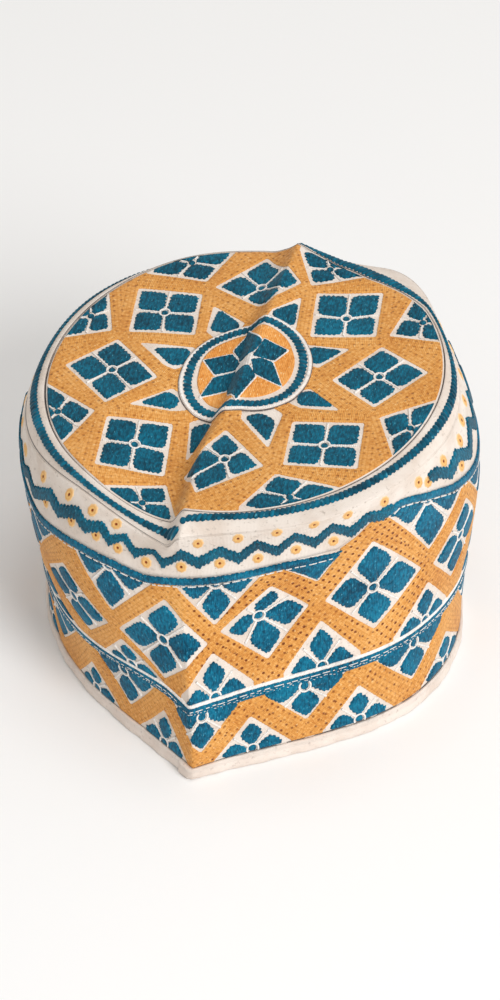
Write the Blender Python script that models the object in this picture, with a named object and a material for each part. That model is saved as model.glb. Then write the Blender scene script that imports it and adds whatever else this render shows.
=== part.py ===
"""A kummah: a round cap of white cotton covered with embroidery.

The cap stands on its hem with its crown up. It has been stored folded flat, so its side has a sharp
corner at the front and another at the back, and a crease runs across the crown between them. The
side leans out to the left, and the crown is a little lower there. The origin is under the middle of
the crown panel on the surface that the hem stands on, moved to the middle of the cap's outline.
+Y runs from the front corner to the back one, +X is to the right seen from the front.
"""

import math

import bmesh
import bpy
import numpy as np

MM = 0.001

# Driving sizes, in millimetres.
CLOTH = 1.6
GAP = 0.3
RIM_CLOTH_HEIGHT = 127.0
RING_WIDTH = 12.0
ROUNDEL_CLOTH = 0.9
CROWN_HEIGHT = 125.8
CROWN_TILT_X = 0.084
CROWN_TILT_Y = 0.042
CORNER_SPREAD = math.radians(14.0)
HEIGHT_POWER = 1.2
OUTLINE_MIDDLE = (1.9, -6.3)

# The hem binding, in millimetres: how thick its two legs are, how high they reach, its rounded edge,
# and how high the lower edge of the side wall sits inside it.
BINDING_LEG = 1.0
BINDING_HEIGHT = 6.5
BINDING_EDGE = 0.5
BINDING_FLOOR = 1.1

# The cap's outline at four heights. Each row is one direction seen from the middle of the crown:
# its turn in degrees from the front corner towards the right side, the radius of the hem, of the
# line between the two tiers, of the band's lower edge and of the rim, and the height of the rim.
STATION_COLUMNS = ("turn", "hem", "middle", "band", "rim", "rim_height")
STATION_ROWS = (
    (0, 94, 85, 88, 83, 116),
    (30, 95, 87, 84, 93, 125),
    (60, 99, 94, 90, 93, 128),
    (90, 95, 96, 98, 91, 127),
    (120, 86, 91, 94, 85, 132),
    (150, 83, 88, 88, 91, 129),
    (180, 83, 87, 86, 84, 112),
    (210, 85, 86, 88, 84, 110),
    (240, 85, 85, 91, 92, 110),
    (270, 86, 86, 95, 91, 107),
    (300, 85, 87, 93, 91, 109),
    (330, 88, 89, 93, 86, 114),
)

# The four heights: how far up the cloth each lies, the direction of its front corner in degrees,
# and how far the corners at the front and the back reach out beyond the round outline.
LEVEL_COLUMNS = ("name", "cloth_height", "corner", "front_reach", "back_reach")
LEVEL_ROWS = (
    ("hem", 0, -89, 18, 14),
    ("middle", 39, -90, 22, 14),
    ("band", 98, -95, 1, 10),
    ("rim", RIM_CLOTH_HEIGHT, -94, 11, 1),
)

# Where the side wall ends and the upper band begins: the band is stitched lower on the left and at
# the front, and higher from the right round to the back. Turn in degrees, height up the cloth.
BAND_SEAM_COLUMNS = ("turn", "cloth_height")
BAND_SEAM_ROWS = (
    (0, 98),
    (40, 98),
    (58, 113),
    (74, 106),
    (95, 98),
    (360, 98),
)

# The seam between the crown and its ring, by direction in degrees from the right side towards the
# back: it is round but for a flatter part at the back on the right.
SEAM_COLUMNS = ("direction", "radius")
SEAM_ROWS = (
    (-180, 82.7),
    (36, 82.7),
    (46, 80),
    (58, 76),
    (70, 75),
    (80, 77.5),
    (90, 82),
    (96, 82.7),
    (180, 82.7),
)

# The edge of the roundel, in the same directions: it is drawn out to a soft point at the back.
ROUNDEL_COLUMNS = ("direction", "radius")
ROUNDEL_ROWS = (
    (-180, 26.8),
    (-149, 27.8),
    (-128, 27.3),
    (-98, 24),
    (-83, 22.8),
    (-57, 25.4),
    (-32, 27.5),
    (6, 27.7),
    (37, 29),
    (60, 30.9),
    (93, 31.6),
    (119, 28.8),
    (144, 27.4),
    (180, 26.8),
)

# The crease across the crown, from the front to the back: how far right of the middle it lies, how
# far its right side stands up, and how far the crown sinks just left of it.
CREASE_COLUMNS = ("y", "x", "lift", "drop")
CREASE_ROWS = (
    (-92, -6.5, 0, 8),
    (-45, -6.5, 0, 8),
    (-28, -4, 0, 7),
    (-12, 1, 2, 5),
    (15, 3, 4, 2),
    (45, 3, 5, 1),
    (90, 4, 5, 3),
)
CREASE_STEP = 9.0
CREASE_RECOVERY = 45.0
CREASE_FADE_RIGHT = 20.0
CREASE_FADE_DOWN = 22.0

# How finely the solids are cut.
SEGMENTS = 72
WALL_ROWS = 6
BAND_ROWS = 3
RING_ROWS = 3
ROUNDEL_SHARES = (0.33, 0.66, 1.0)
CROWN_SHARES = (0.2, 0.42, 0.64, 0.83, 1.0)

LINEN_WHITE = (0.82, 0.76, 0.69)
THREAD_ORANGE = (0.74, 0.33, 0.06)
THREAD_BLUE = (0.01, 0.11, 0.22)


def numbers(columns, rows, name):
    """One named column of a table, as an array of numbers."""
    return np.array([row[columns.index(name)] for row in rows], dtype=float)


def smooth_step(x):
    """0 below 0, 1 above 1, and a smooth ramp between."""
    t = min(max(x, 0.0), 1.0)
    return t * t * (3.0 - 2.0 * t)


def around(values, turn):
    """A smooth closed curve through evenly spaced stations, read at a turn in radians."""
    count = len(values)
    place = (turn / math.tau * count) % count
    first = int(place)
    t = place - first
    a, b, c, d = (values[(first + k) % count] for k in (-1, 0, 1, 2))
    rise = 0.5 * (c - a)
    end = 0.5 * (d - b)
    return (
        b * (2 * t**3 - 3 * t**2 + 1)
        + rise * (t**3 - 2 * t**2 + t)
        + c * (3 * t**2 - 2 * t**3)
        + end * (t**3 - t**2)
    )


def through(xs, ys, x):
    """The cubic through four points, read at x."""
    total = 0.0
    for i, y in enumerate(ys):
        weight = 1.0
        for j, other in enumerate(xs):
            if j != i:
                weight *= (x - other) / (xs[i] - other)
        total += weight * y
    return total


LEVELS = [dict(zip(LEVEL_COLUMNS, row)) for row in LEVEL_ROWS]
LEVEL_HEIGHTS = [level["cloth_height"] for level in LEVELS]
LEVEL_RADII = {
    level["name"]: numbers(STATION_COLUMNS, STATION_ROWS, level["name"])
    for level in LEVELS
}
RIM_HEIGHTS = numbers(STATION_COLUMNS, STATION_ROWS, "rim_height")
BAND_SEAM_TURNS = numbers(BAND_SEAM_COLUMNS, BAND_SEAM_ROWS, "turn")
BAND_SEAM_HEIGHTS = numbers(BAND_SEAM_COLUMNS, BAND_SEAM_ROWS, "cloth_height")
SEAM_DIRECTIONS = numbers(SEAM_COLUMNS, SEAM_ROWS, "direction")
SEAM_RADII = numbers(SEAM_COLUMNS, SEAM_ROWS, "radius")
ROUNDEL_DIRECTIONS = numbers(ROUNDEL_COLUMNS, ROUNDEL_ROWS, "direction")
ROUNDEL_RADII = numbers(ROUNDEL_COLUMNS, ROUNDEL_ROWS, "radius")
CREASE_Y = numbers(CREASE_COLUMNS, CREASE_ROWS, "y")
CREASE_X = numbers(CREASE_COLUMNS, CREASE_ROWS, "x")
CREASE_LIFT = numbers(CREASE_COLUMNS, CREASE_ROWS, "lift")
CREASE_DROP = numbers(CREASE_COLUMNS, CREASE_ROWS, "drop")


def band_seam(turn):
    """How far up the cloth the side wall ends."""
    return float(
        np.interp(math.degrees(turn) % 360.0, BAND_SEAM_TURNS, BAND_SEAM_HEIGHTS)
    )


def seam_radius(direction):
    """How far the crown's seam lies from the middle, in a direction in radians."""
    return float(np.interp(math.degrees(direction), SEAM_DIRECTIONS, SEAM_RADII))


def roundel_radius(direction):
    """How far the roundel reaches from the middle, in a direction in radians."""
    return float(np.interp(math.degrees(direction), ROUNDEL_DIRECTIONS, ROUNDEL_RADII))


def crease_height(x, y):
    """How far the crease lifts or sinks the crown at a place."""
    lift = float(np.interp(y, CREASE_Y, CREASE_LIFT))
    drop = float(np.interp(y, CREASE_Y, CREASE_DROP))
    away = x - float(np.interp(y, CREASE_Y, CREASE_X))
    if away >= 0.0:
        return lift * math.exp(-away / CREASE_FADE_RIGHT)
    step = smooth_step(-away / CREASE_STEP)
    recovered = smooth_step((-away - CREASE_STEP) / CREASE_RECOVERY)
    return lift * (1.0 - step) - drop * step * (1.0 - recovered)


def crown_point(x, y):
    """The crown's surface over a place."""
    z = CROWN_HEIGHT + CROWN_TILT_X * x + CROWN_TILT_Y * y + crease_height(x, y)
    return np.array((x, y, z))


def wall_plan(turn, cloth_height):
    """Where the side stands in plan, by its turn from the front corner and height up the cloth."""
    corner_distance = min(turn % math.tau, math.tau - turn % math.tau)
    back_distance = abs(turn % math.tau - math.pi)
    xs = []
    ys = []
    for level in LEVELS:
        radius = around(LEVEL_RADII[level["name"]], turn)
        radius += level["front_reach"] * math.exp(-corner_distance / CORNER_SPREAD)
        radius += level["back_reach"] * math.exp(-back_distance / CORNER_SPREAD)
        angle = math.radians(level["corner"]) + turn
        xs.append(radius * math.cos(angle))
        ys.append(radius * math.sin(angle))
    return np.array(
        (through(LEVEL_HEIGHTS, xs, cloth_height), through(LEVEL_HEIGHTS, ys, cloth_height))
    )


def wall_point(turn, cloth_height):
    """The outer surface of the side."""
    x, y = wall_plan(turn, cloth_height)
    up = cloth_height / RIM_CLOTH_HEIGHT
    z = cloth_height + (around(RIM_HEIGHTS, turn) - RIM_CLOTH_HEIGHT) * up**HEIGHT_POWER
    near_rim = (cloth_height - RIM_CLOTH_HEIGHT + CREASE_FADE_DOWN) / CREASE_FADE_DOWN
    return np.array((x, y, z + crease_height(x, y) * smooth_step(near_rim)))


def rim_direction(turn):
    """The direction from the middle of the crown to the rim."""
    x, y = wall_plan(turn, RIM_CLOTH_HEIGHT)
    return math.atan2(y, x)


def skin_point(turn, cloth_height):
    """The cap's outer surface, from the hem up over the rim to the crown's seam."""
    if cloth_height <= RIM_CLOTH_HEIGHT:
        return wall_point(turn, cloth_height)
    rim = wall_point(turn, RIM_CLOTH_HEIGHT)
    inward = (cloth_height - RIM_CLOTH_HEIGHT) / RING_WIDTH
    direction = rim_direction(turn)
    reach = seam_radius(direction)
    seam = crown_point(reach * math.cos(direction), reach * math.sin(direction))
    point = rim + (seam - rim) * inward
    point[2] = seam[2] + (rim[2] - seam[2]) * (1.0 - inward) ** 2
    return point


def outward(turn, cloth_height):
    """The direction away from the head: level on the side, tipping up over the rim to the seam."""
    low = min(cloth_height, RIM_CLOTH_HEIGHT)
    step = math.tau / SEGMENTS / 2.0
    run = wall_plan(turn + step, low) - wall_plan(turn - step, low)
    level = np.array((run[1], -run[0], 0.0)) / np.hypot(*run)
    tip = smooth_step((cloth_height - RIM_CLOTH_HEIGHT + RING_WIDTH) / (2.0 * RING_WIDTH))
    angle = tip * math.pi / 2.0
    return level * math.cos(angle) + np.array((0.0, 0.0, math.sin(angle)))


def turns():
    """The turns at which the solids are cut."""
    return [math.tau * k / SEGMENTS for k in range(SEGMENTS)]


def add_loop_faces(faces, first, second, flip=False):
    """Two rows of triangles between two closed loops of vertex numbers."""
    count = len(first)
    for k in range(count):
        a, b = first[k], first[(k + 1) % count]
        c, d = second[(k + 1) % count], second[k]
        pair = ((a, b, c), (a, c, d))
        for face in pair:
            faces.append(face[::-1] if flip else face)


def make_object(name, points, faces, material):
    """One closed solid from points in millimetres."""
    mesh = bpy.data.meshes.new(name)
    shift = np.array((OUTLINE_MIDDLE[0], OUTLINE_MIDDLE[1], 0.0))
    mesh.from_pydata([tuple((np.array(p) - shift) * MM) for p in points], [], faces)
    solid = bmesh.new()
    solid.from_mesh(mesh)
    bmesh.ops.recalc_face_normals(solid, faces=solid.faces)
    solid.to_mesh(mesh)
    solid.free()
    mesh.shade_smooth()
    mesh.set_sharp_from_angle(angle=math.radians(40.0))
    mesh.materials.append(material)
    piece = bpy.data.objects.new(name, mesh)
    bpy.context.scene.collection.objects.link(piece)
    return piece


def closed_ring(name, sections, material):
    """A solid that runs round the cap: the same closed section at each turn."""
    points = [point for section in sections for point in section]
    size = len(sections[0])
    loops = [[row * size + k for row in range(len(sections))] for k in range(size)]
    faces = []
    for k in range(size):
        add_loop_faces(faces, loops[k], loops[(k + 1) % size])
    return make_object(name, points, faces, material)


def spread(bottom, top, rows):
    """Evenly spaced heights from one to another."""
    return [bottom + (top - bottom) * row / rows for row in range(rows + 1)]


def cloth_strip(name, heights_at, material):
    """A strip of the cap's cloth, cut at the heights that are given for each turn."""
    sections = []
    for turn in turns():
        heights = heights_at(turn)
        outer = [skin_point(turn, height) for height in heights]
        inner = [
            skin_point(turn, height) - outward(turn, height) * CLOTH for height in heights
        ]
        sections.append(outer + inner[::-1])
    return closed_ring(name, sections, material)


def disc(name, radii_at, bottom, top, material):
    """A plate that follows the crown, between two heights over its surface.

    radii_at gives the radii at which it is cut in one direction, from the inmost to its edge."""
    directions = [rim_direction(turn) for turn in turns()]
    radii = [radii_at(direction) for direction in directions]
    points = [crown_point(0.0, 0.0) + (0.0, 0.0, offset) for offset in (bottom, top)]
    faces = []
    rings = {}
    for side, offset in enumerate((bottom, top)):
        for k in range(len(radii[0])):
            rings[side, k] = range(len(points), len(points) + SEGMENTS)
            for direction, row in zip(directions, radii):
                x = row[k] * math.cos(direction)
                y = row[k] * math.sin(direction)
                points.append(crown_point(x, y) + (0.0, 0.0, offset))
        first = rings[side, 0]
        for k in range(SEGMENTS):
            fan = (side, first[k], first[(k + 1) % SEGMENTS])
            faces.append(fan if side else fan[::-1])
        for k in range(len(radii[0]) - 1):
            add_loop_faces(faces, rings[side, k], rings[side, k + 1], flip=bool(side))
    last = len(radii[0]) - 1
    add_loop_faces(faces, rings[0, last], rings[1, last])
    return make_object(name, points, faces, material)


def roundel_radii(direction):
    """Where the roundel is cut in one direction."""
    return [share * roundel_radius(direction) for share in ROUNDEL_SHARES]


def panel_radii(direction):
    """Where the crown panel is cut in one direction: as the roundel, then on to the seam."""
    near = roundel_radius(direction)
    far = seam_radius(direction) - GAP
    return roundel_radii(direction) + [near + (far - near) * share for share in CROWN_SHARES]


def crown_panel(material):
    """The top of the cap, inside the seam."""
    return disc("crown_panel", panel_radii, -CLOTH, 0.0, material)


def crown_roundel(material):
    """The small patch stitched on the middle of the crown."""
    return disc("crown_roundel", roundel_radii, GAP, GAP + ROUNDEL_CLOTH, material)


def crown_ring(material):
    """The ring from the crown's seam out to the soft corner of the rim."""
    low = RIM_CLOTH_HEIGHT + GAP / 2.0
    high = RIM_CLOTH_HEIGHT + RING_WIDTH
    return cloth_strip("crown_ring", lambda turn: spread(low, high, RING_ROWS), material)


def upper_band(material):
    """The white band under the rim."""
    high = RIM_CLOTH_HEIGHT - GAP / 2.0
    return cloth_strip(
        "upper_band",
        lambda turn: spread(band_seam(turn) + GAP / 2.0, high, BAND_ROWS),
        material,
    )


def side_wall(material):
    """The tall side, whose lower edge stands inside the binding."""
    foot = [BINDING_FLOOR + GAP]
    return cloth_strip(
        "side_wall",
        lambda turn: foot + spread(BINDING_HEIGHT, band_seam(turn) - GAP / 2.0, WALL_ROWS),
        material,
    )


def hem_binding(material):
    """The strip folded round the lower edge, with a flat underside."""
    outside = GAP + BINDING_LEG
    inside = -CLOTH - GAP - BINDING_LEG
    profile = (
        (outside, BINDING_HEIGHT),
        (GAP, BINDING_HEIGHT),
        (GAP, BINDING_FLOOR),
        (-CLOTH - GAP, BINDING_FLOOR),
        (-CLOTH - GAP, BINDING_HEIGHT),
        (inside, BINDING_HEIGHT),
        (inside, BINDING_EDGE),
        (inside + BINDING_EDGE, 0.0),
        (outside - BINDING_EDGE, 0.0),
        (outside, BINDING_EDGE),
    )
    sections = [
        [skin_point(turn, height) + outward(turn, height) * away for away, height in profile]
        for turn in turns()
    ]
    return closed_ring("hem_binding", sections, material)


def make_material(name, colour, roughness):
    """A plain woven or stitched surface."""
    material = bpy.data.materials.new(name)
    material.use_nodes = True
    shader = material.node_tree.nodes["Principled BSDF"]
    shader.inputs["Base Color"].default_value = (*colour, 1.0)
    shader.inputs["Roughness"].default_value = roughness
    shader.inputs["Metallic"].default_value = 0.0
    return material


def main():
    """Clears the scene and makes the cap."""
    for item in list(bpy.data.objects):
        bpy.data.objects.remove(item)
    crown_panel(make_material("crown_embroidery", THREAD_ORANGE, 0.75))
    crown_roundel(make_material("roundel_embroidery", THREAD_BLUE, 0.7))
    crown_ring(make_material("ring_cotton", LINEN_WHITE, 0.85))
    upper_band(make_material("band_cotton", LINEN_WHITE, 0.85))
    side_wall(make_material("wall_embroidery", THREAD_ORANGE, 0.75))
    hem_binding(make_material("binding_cotton", LINEN_WHITE, 0.8))


main()
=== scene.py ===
import math

import bpy
import numpy as np
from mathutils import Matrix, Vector
from mathutils.geometry import delaunay_2d_cdt


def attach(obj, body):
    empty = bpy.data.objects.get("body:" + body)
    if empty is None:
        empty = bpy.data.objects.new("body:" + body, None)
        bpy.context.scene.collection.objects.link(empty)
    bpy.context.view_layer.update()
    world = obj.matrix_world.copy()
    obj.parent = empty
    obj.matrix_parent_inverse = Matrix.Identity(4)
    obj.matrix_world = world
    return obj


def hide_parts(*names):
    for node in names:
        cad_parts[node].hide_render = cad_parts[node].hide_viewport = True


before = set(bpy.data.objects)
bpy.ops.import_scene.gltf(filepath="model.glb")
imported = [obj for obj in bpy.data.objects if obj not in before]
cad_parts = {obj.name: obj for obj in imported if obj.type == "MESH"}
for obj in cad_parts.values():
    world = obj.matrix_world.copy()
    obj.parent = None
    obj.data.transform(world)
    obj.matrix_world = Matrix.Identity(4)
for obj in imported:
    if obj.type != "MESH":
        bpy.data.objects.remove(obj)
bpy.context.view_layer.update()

MM = 0.001
UV_SCALE = 0.01
SEED = 7

# The cap's shape, as in the solids, in millimetres.
OUTLINE_MIDDLE = (1.9, -6.3)
CLOTH = 1.6
RIM_V = 127.0
RING_WIDTH = 12.0
SEAM_V = RIM_V + RING_WIDTH
CROWN_HEIGHT = 125.8
CROWN_TILT_X = 0.084
CROWN_TILT_Y = 0.042
CORNER_SPREAD = math.radians(14.0)
HEIGHT_POWER = 1.2
BINDING_HEIGHT = 6.5
CLOTH_LENGTH = 580.0
HALF_TURN = CLOTH_LENGTH / 2

# Turn in degrees, radius of the hem, the middle line, the band's edge and the rim, rim height.
STATIONS = np.array((
    (0, 94, 85, 88, 83, 116),
    (30, 95, 87, 84, 93, 125),
    (60, 99, 94, 90, 93, 128),
    (90, 95, 96, 98, 91, 127),
    (120, 86, 91, 94, 85, 132),
    (150, 83, 88, 88, 91, 129),
    (180, 83, 87, 86, 84, 112),
    (210, 85, 86, 88, 84, 110),
    (240, 85, 85, 91, 92, 110),
    (270, 86, 86, 95, 91, 107),
    (300, 85, 87, 93, 91, 109),
    (330, 88, 89, 93, 86, 114),
), float)
# Height up the cloth, direction of the front corner in degrees, reach of the front and back corners.
LEVELS = np.array((
    (0, -89, 18, 14),
    (39, -90, 22, 14),
    (98, -95, 1, 10),
    (RIM_V, -94, 11, 1),
), float)
# The crease: y, x of its edge, lift on its right, drop on its left, width of the slope between them.
CREASE = np.array((
    (-92, -6.5, 0, 8, 6.5),
    (-45, -6.5, 0, 8, 6.5),
    (-28, -4, 0, 7, 6.5),
    (-12, 1, 2, 5, 6.5),
    (15, 3, 4, 2, 6.5),
    (45, 4, 5, 1, 9),
    (90, 7.5, 5, 3, 14),
), float)
CREASE_RECOVERY = 45.0
CREASE_FADE_RIGHT = 20.0
CREASE_FADE_DOWN = 22.0
# Where the slope begins to be pointed at its top, and over how far.
CREASE_POINTED_FROM = 30.0
CREASE_POINTED_OVER = 40.0

# Where the embroidery lies, read from the photograph, in millimetres along and up the cloth.
# The white fields of the upper tier's diamonds: column, top, right corner, foot and left corner as
# u, v, then the middle of the flower. The columns that the photograph doesn't show are regular.
COLUMN_COUNT = 12
PITCH = CLOTH_LENGTH / COLUMN_COUNT
FIRST_COLUMN = -14.5
DIAMONDS = {
    -1: ((-59, 80.5), (-38.6, 60.4), (-54, 47), (-80, 64), (-57, 64)),
    0: ((-7, 85.4), (9.3, 64.3), (-14.3, 44.2), (-32.9, 60), (-10.5, 64.5)),
    1: ((36.5, 85.6), (51.7, 70.7), (34.6, 49.7), (15, 68.7), (31, 72)),
    2: ((80, 97), (103.6, 69.3), (80.8, 50), (59, 71), (79.5, 71.5)),
    3: ((133, 89), (147.5, 69), (126.4, 50.4), (111, 67.6), (129, 71)),
}
DIAMOND_PLAIN = ((0, 86.7), (20.7, 66.2), (0, 46), (-20.7, 66.2), (0, 66.3))
# The triangles that hang from the blue line, to the right of each column: left end, right end, apex.
HANGING = {
    -2: ((-110, 92), (-66, 92), (-89, 68)),
    -1: ((-48.5, 94), (-11, 94), (-33.9, 69.7)),
    0: ((-1.2, 93), (32, 93), (12.9, 72.6)),
    1: ((42, 94), (65.5, 96), (55.7, 82.5)),
    2: ((88, 109), (131, 98), (107.9, 77.6)),
}
HANGING_PLAIN = ((7.2, 94.5), (41.2, 94.5), (24.2, 71))
# The triangles that rise from the middle line: left end, right end, apex.
RISING = {
    -2: ((-112, 41), (-64, 41), (-88, 53.5)),
    -1: ((-46.7, 41), (-15, 41), (-33.6, 54)),
    0: ((-5, 41), (28, 41), (11.2, 59.3)),
    1: ((41.5, 41), (74.5, 41), (57.1, 61.1)),
    2: ((90.5, 41), (124, 41), (108.6, 59)),
}
RISING_PLAIN = ((7.9, 41), (40.5, 41), (24.2, 58.5))
# The lower tier: hanging to the right of each column, and rising at each column.
LOW_HANGING = {
    -2: ((-110, 35), (-70, 35), (-90, 13.5)),
    -1: ((-54.5, 35), (-22.5, 35), (-39.3, 14.7)),
    0: ((-11, 35), (23, 35), (3.9, 14.7)),
    1: ((31, 35), (69, 35), (50.3, 16.2)),
    2: ((81, 35), (123, 35), (100.7, 15.3)),
}
LOW_HANGING_PLAIN = ((7.2, 35), (41.2, 35), (24.2, 15.5))
LOW_RISING = {
    -1: ((-74.2, 7), (-46, 7), (-62.1, 23)),
    0: ((-32.8, 7), (-3.5, 7), (-17.9, 25.9)),
    1: ((9.5, 7), (43, 7), (26.4, 24.3)),
    2: ((56.8, 7), (90, 7), (73.9, 24.7)),
    3: ((105.8, 7), (144, 7), (125.7, 22)),
}
LOW_RISING_PLAIN = ((-15.7, 7), (15.7, 7), (0, 24))
FIELDS = {
    "diamond": (DIAMONDS, DIAMOND_PLAIN), "hanging": (HANGING, HANGING_PLAIN),
    "rising": (RISING, RISING_PLAIN), "low_hanging": (LOW_HANGING, LOW_HANGING_PLAIN),
    "low_rising": (LOW_RISING, LOW_RISING_PLAIN),
}
# The blue line along the upper edge of the wall: place along the cloth, its upper edge. It climbs over
# the band at the front right.
BLUE_LINE = np.array((
    (-290, 98), (-110, 97), (-78, 95), (-60, 98.5), (-46, 100), (-30, 99.5), (-15, 96.5),
    (0, 98), (50, 98), (68, 98.5), (290, 98),
), float)
BLUE_LINE_CLIMB = np.array(((64, 98), (74, 104.5), (80, 110), (88, 111)), float)
BLUE_LINE_RIGHT = np.array((
    (88, 111), (94, 115), (101, 113), (108, 110), (117, 107), (124, 104), (132, 102),
    (140, 100), (150, 98), (290, 98),
), float)
# The white line between the tiers: place along the cloth, height up it.
MIDDLE_LINE = np.array((
    (-290, 40.2), (-15, 40.4), (-3, 38.6), (15, 37.7), (60, 38.3), (100, 39.0), (150, 40.2), (290, 40.2),
), float)
# The seam between the crown and its ring: direction in degrees, radius.
SEAM = np.array((
    (-180, 82.7), (36, 82.7), (46, 80), (58, 76), (70, 75), (80, 77.5), (90, 82), (96, 82.7), (180, 82.7),
), float)


def read(table, x, kind=1):
    """A column of a table at x, with straight lines between its rows."""
    return np.interp(x, table[:, 0], table[:, kind])


def lengths_along(line):
    """How far along a line each of its points lies."""
    return np.concatenate([[0.0], np.cumsum(np.linalg.norm(np.diff(line, axis=0), axis=1))])


def polar(radius, angle):
    """x, y at a distance from the middle, in directions in radians."""
    return np.stack([radius * np.cos(angle), radius * np.sin(angle)], -1)


def left_of(run):
    """The direction to the left of a run."""
    return np.stack([-run[..., 1], run[..., 0]], -1)


def eased(a, corner, b, count):
    """Points of a curve from a to b that a corner draws towards itself."""
    t = np.linspace(0, 1, count)[:, None]
    return (1 - t) ** 2 * a + 2 * t * (1 - t) * corner + t**2 * b


def smooth_step(x):
    """From 0 to 1 with a soft start and end."""
    t = np.clip(x, 0.0, 1.0)
    return t * t * (3.0 - 2.0 * t)


def around(values, turn):
    """Values at even turns, joined by a smooth closed curve."""
    count = len(values)
    place = (turn / math.tau * count) % count
    first = np.floor(place).astype(int) % count
    t = place - np.floor(place)
    a, b, c, d = (values[(first + k) % count] for k in (-1, 0, 1, 2))
    rise = 0.5 * (c - a)
    end = 0.5 * (d - b)
    return (
        b * (2 * t**3 - 3 * t**2 + 1) + rise * (t**3 - 2 * t**2 + t)
        + c * (3 * t**2 - 2 * t**3) + end * (t**3 - t**2)
    )


def crease_height(x, y):
    """How far the crease lifts or drops the crown's cloth."""
    edge, lift, drop, width = (read(CREASE, y, kind) for kind in (1, 2, 3, 4))
    away = x - edge
    right = lift * np.exp(-np.maximum(away, 0.0) / CREASE_FADE_RIGHT)
    down = np.clip(-away / width, 0.0, 1.0)
    step = smooth_step(down)
    pointed = smooth_step((y - CREASE_POINTED_FROM) / CREASE_POINTED_OVER)
    step = step + (1.0 - (1.0 - down) ** 2 - step) * pointed
    recovered = smooth_step((-away - width) / CREASE_RECOVERY)
    return np.where(away >= 0.0, right, lift * (1.0 - step) - drop * step * (1.0 - recovered))


def seam_radius(direction):
    """How far the crown's seam lies from the middle, in directions in radians."""
    return read(SEAM, (np.degrees(direction) + 180.0) % 360.0 - 180.0)


def crown_point(x, y):
    """The crown's cloth at x, y from the middle of its pattern."""
    z = CROWN_HEIGHT + CROWN_TILT_X * x + CROWN_TILT_Y * y + crease_height(x, y)
    return np.stack([x, y, z], -1)


def wall_plan(turn, v):
    """x, y of the wall's cloth: at each turn a cubic curve through its four levels."""
    turn = turn % math.tau
    front = np.minimum(turn, math.tau - turn)
    back = np.abs(turn - math.pi)
    heights = LEVELS[:, 0]
    x = 0.0
    y = 0.0
    for i, (height, corner, front_reach, back_reach) in enumerate(LEVELS):
        radius = around(STATIONS[:, 1 + i], turn)
        radius = radius + front_reach * np.exp(-front / CORNER_SPREAD)
        radius = radius + back_reach * np.exp(-back / CORNER_SPREAD)
        angle = math.radians(corner) + turn
        weight = 1.0
        for j, other in enumerate(heights):
            if j != i:
                weight = weight * (v - other) / (height - other)
        x = x + weight * radius * np.cos(angle)
        y = y + weight * radius * np.sin(angle)
    return x, y


def wall_point(turn, v):
    """The wall's cloth up to the rim, where the crown's crease runs into it."""
    x, y = wall_plan(turn, v)
    up = np.maximum(v / RIM_V, 0.0) ** HEIGHT_POWER
    z = v + (around(STATIONS[:, 5], turn % math.tau) - RIM_V) * up
    near_rim = smooth_step((v - RIM_V + CREASE_FADE_DOWN) / CREASE_FADE_DOWN)
    return np.stack([x, y, z + crease_height(x, y) * near_rim], -1)


def skin_at_turn(turn, v):
    """The cloth of the side, and above the rim the ring that leads to the crown's seam."""
    turn, v = np.broadcast_arrays(np.asarray(turn, float), np.asarray(v, float))
    rim = wall_point(turn, np.minimum(v, RIM_V))
    inward = np.maximum((v - RIM_V) / RING_WIDTH, 0.0)[..., None]
    direction = np.arctan2(rim[..., 1], rim[..., 0])
    reach = seam_radius(direction)
    seam = crown_point(reach * np.cos(direction), reach * np.sin(direction))
    over = rim + (seam - rim) * inward
    over[..., 2] = seam[..., 2] + (rim[..., 2] - seam[..., 2]) * (1.0 - inward[..., 0]) ** 2
    return np.where((v > RIM_V)[..., None], over, rim)


TURN_STEPS = 1440
LEVEL_STEP = 4.0


def cloth_columns():
    """For each height, the turn at which each equal share of the way round lies."""
    turns = np.linspace(0.0, math.tau, TURN_STEPS + 1)
    heights = np.append(np.arange(0.0, RIM_V, LEVEL_STEP), RIM_V)
    table = []
    for height in heights:
        arc = lengths_along(wall_point(turns, np.full_like(turns, height))[:, :2])
        table.append(np.interp(np.linspace(0, 1, TURN_STEPS + 1), arc / arc[-1], turns))
    return heights, np.array(table)


COLUMN_HEIGHTS, COLUMN_TURNS = cloth_columns()


def column_turn(u, v):
    """The turn at the length u along the cloth and the height v."""
    share = np.asarray(u, float) / CLOTH_LENGTH
    share = share - np.floor(share)
    v = np.clip(np.asarray(v, float), 0.0, RIM_V)
    share, v = np.broadcast_arrays(share, v)
    level = np.interp(v, COLUMN_HEIGHTS, np.arange(len(COLUMN_HEIGHTS)))
    i = np.minimum(level.astype(int), len(COLUMN_HEIGHTS) - 2)
    f = level - i
    k = share * TURN_STEPS
    j = np.minimum(k.astype(int), TURN_STEPS - 1)
    g = k - j
    low = COLUMN_TURNS[i, j] * (1 - g) + COLUMN_TURNS[i, j + 1] * g
    high = COLUMN_TURNS[i + 1, j] * (1 - g) + COLUMN_TURNS[i + 1, j + 1] * g
    return low * (1 - f) + high * f


def skin(u, v):
    """The cloth of the side, by the length along it and the height up it."""
    return skin_at_turn(column_turn(u, v), v)


NORMAL_STEP = 0.6


def placed(surface, a, b, h):
    """A place h out from a surface."""
    a, b, h = np.broadcast_arrays(*(np.asarray(x, float) for x in (a, b, h)))
    da = surface(a + NORMAL_STEP, b) - surface(a - NORMAL_STEP, b)
    db = surface(a, b + NORMAL_STEP) - surface(a, b - NORMAL_STEP)
    n = np.cross(da, db)
    return surface(a, b) + n / np.linalg.norm(n, axis=-1)[..., None] * h[..., None]


def side(a, b, h):
    """A place on the side or the ring: along the cloth, up the cloth, out from it."""
    return placed(skin, a, b, h)


def top(a, b, h):
    """A place on the crown: x, y from the middle of its pattern, up from it."""
    return placed(crown_point, a, b, h)


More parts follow.
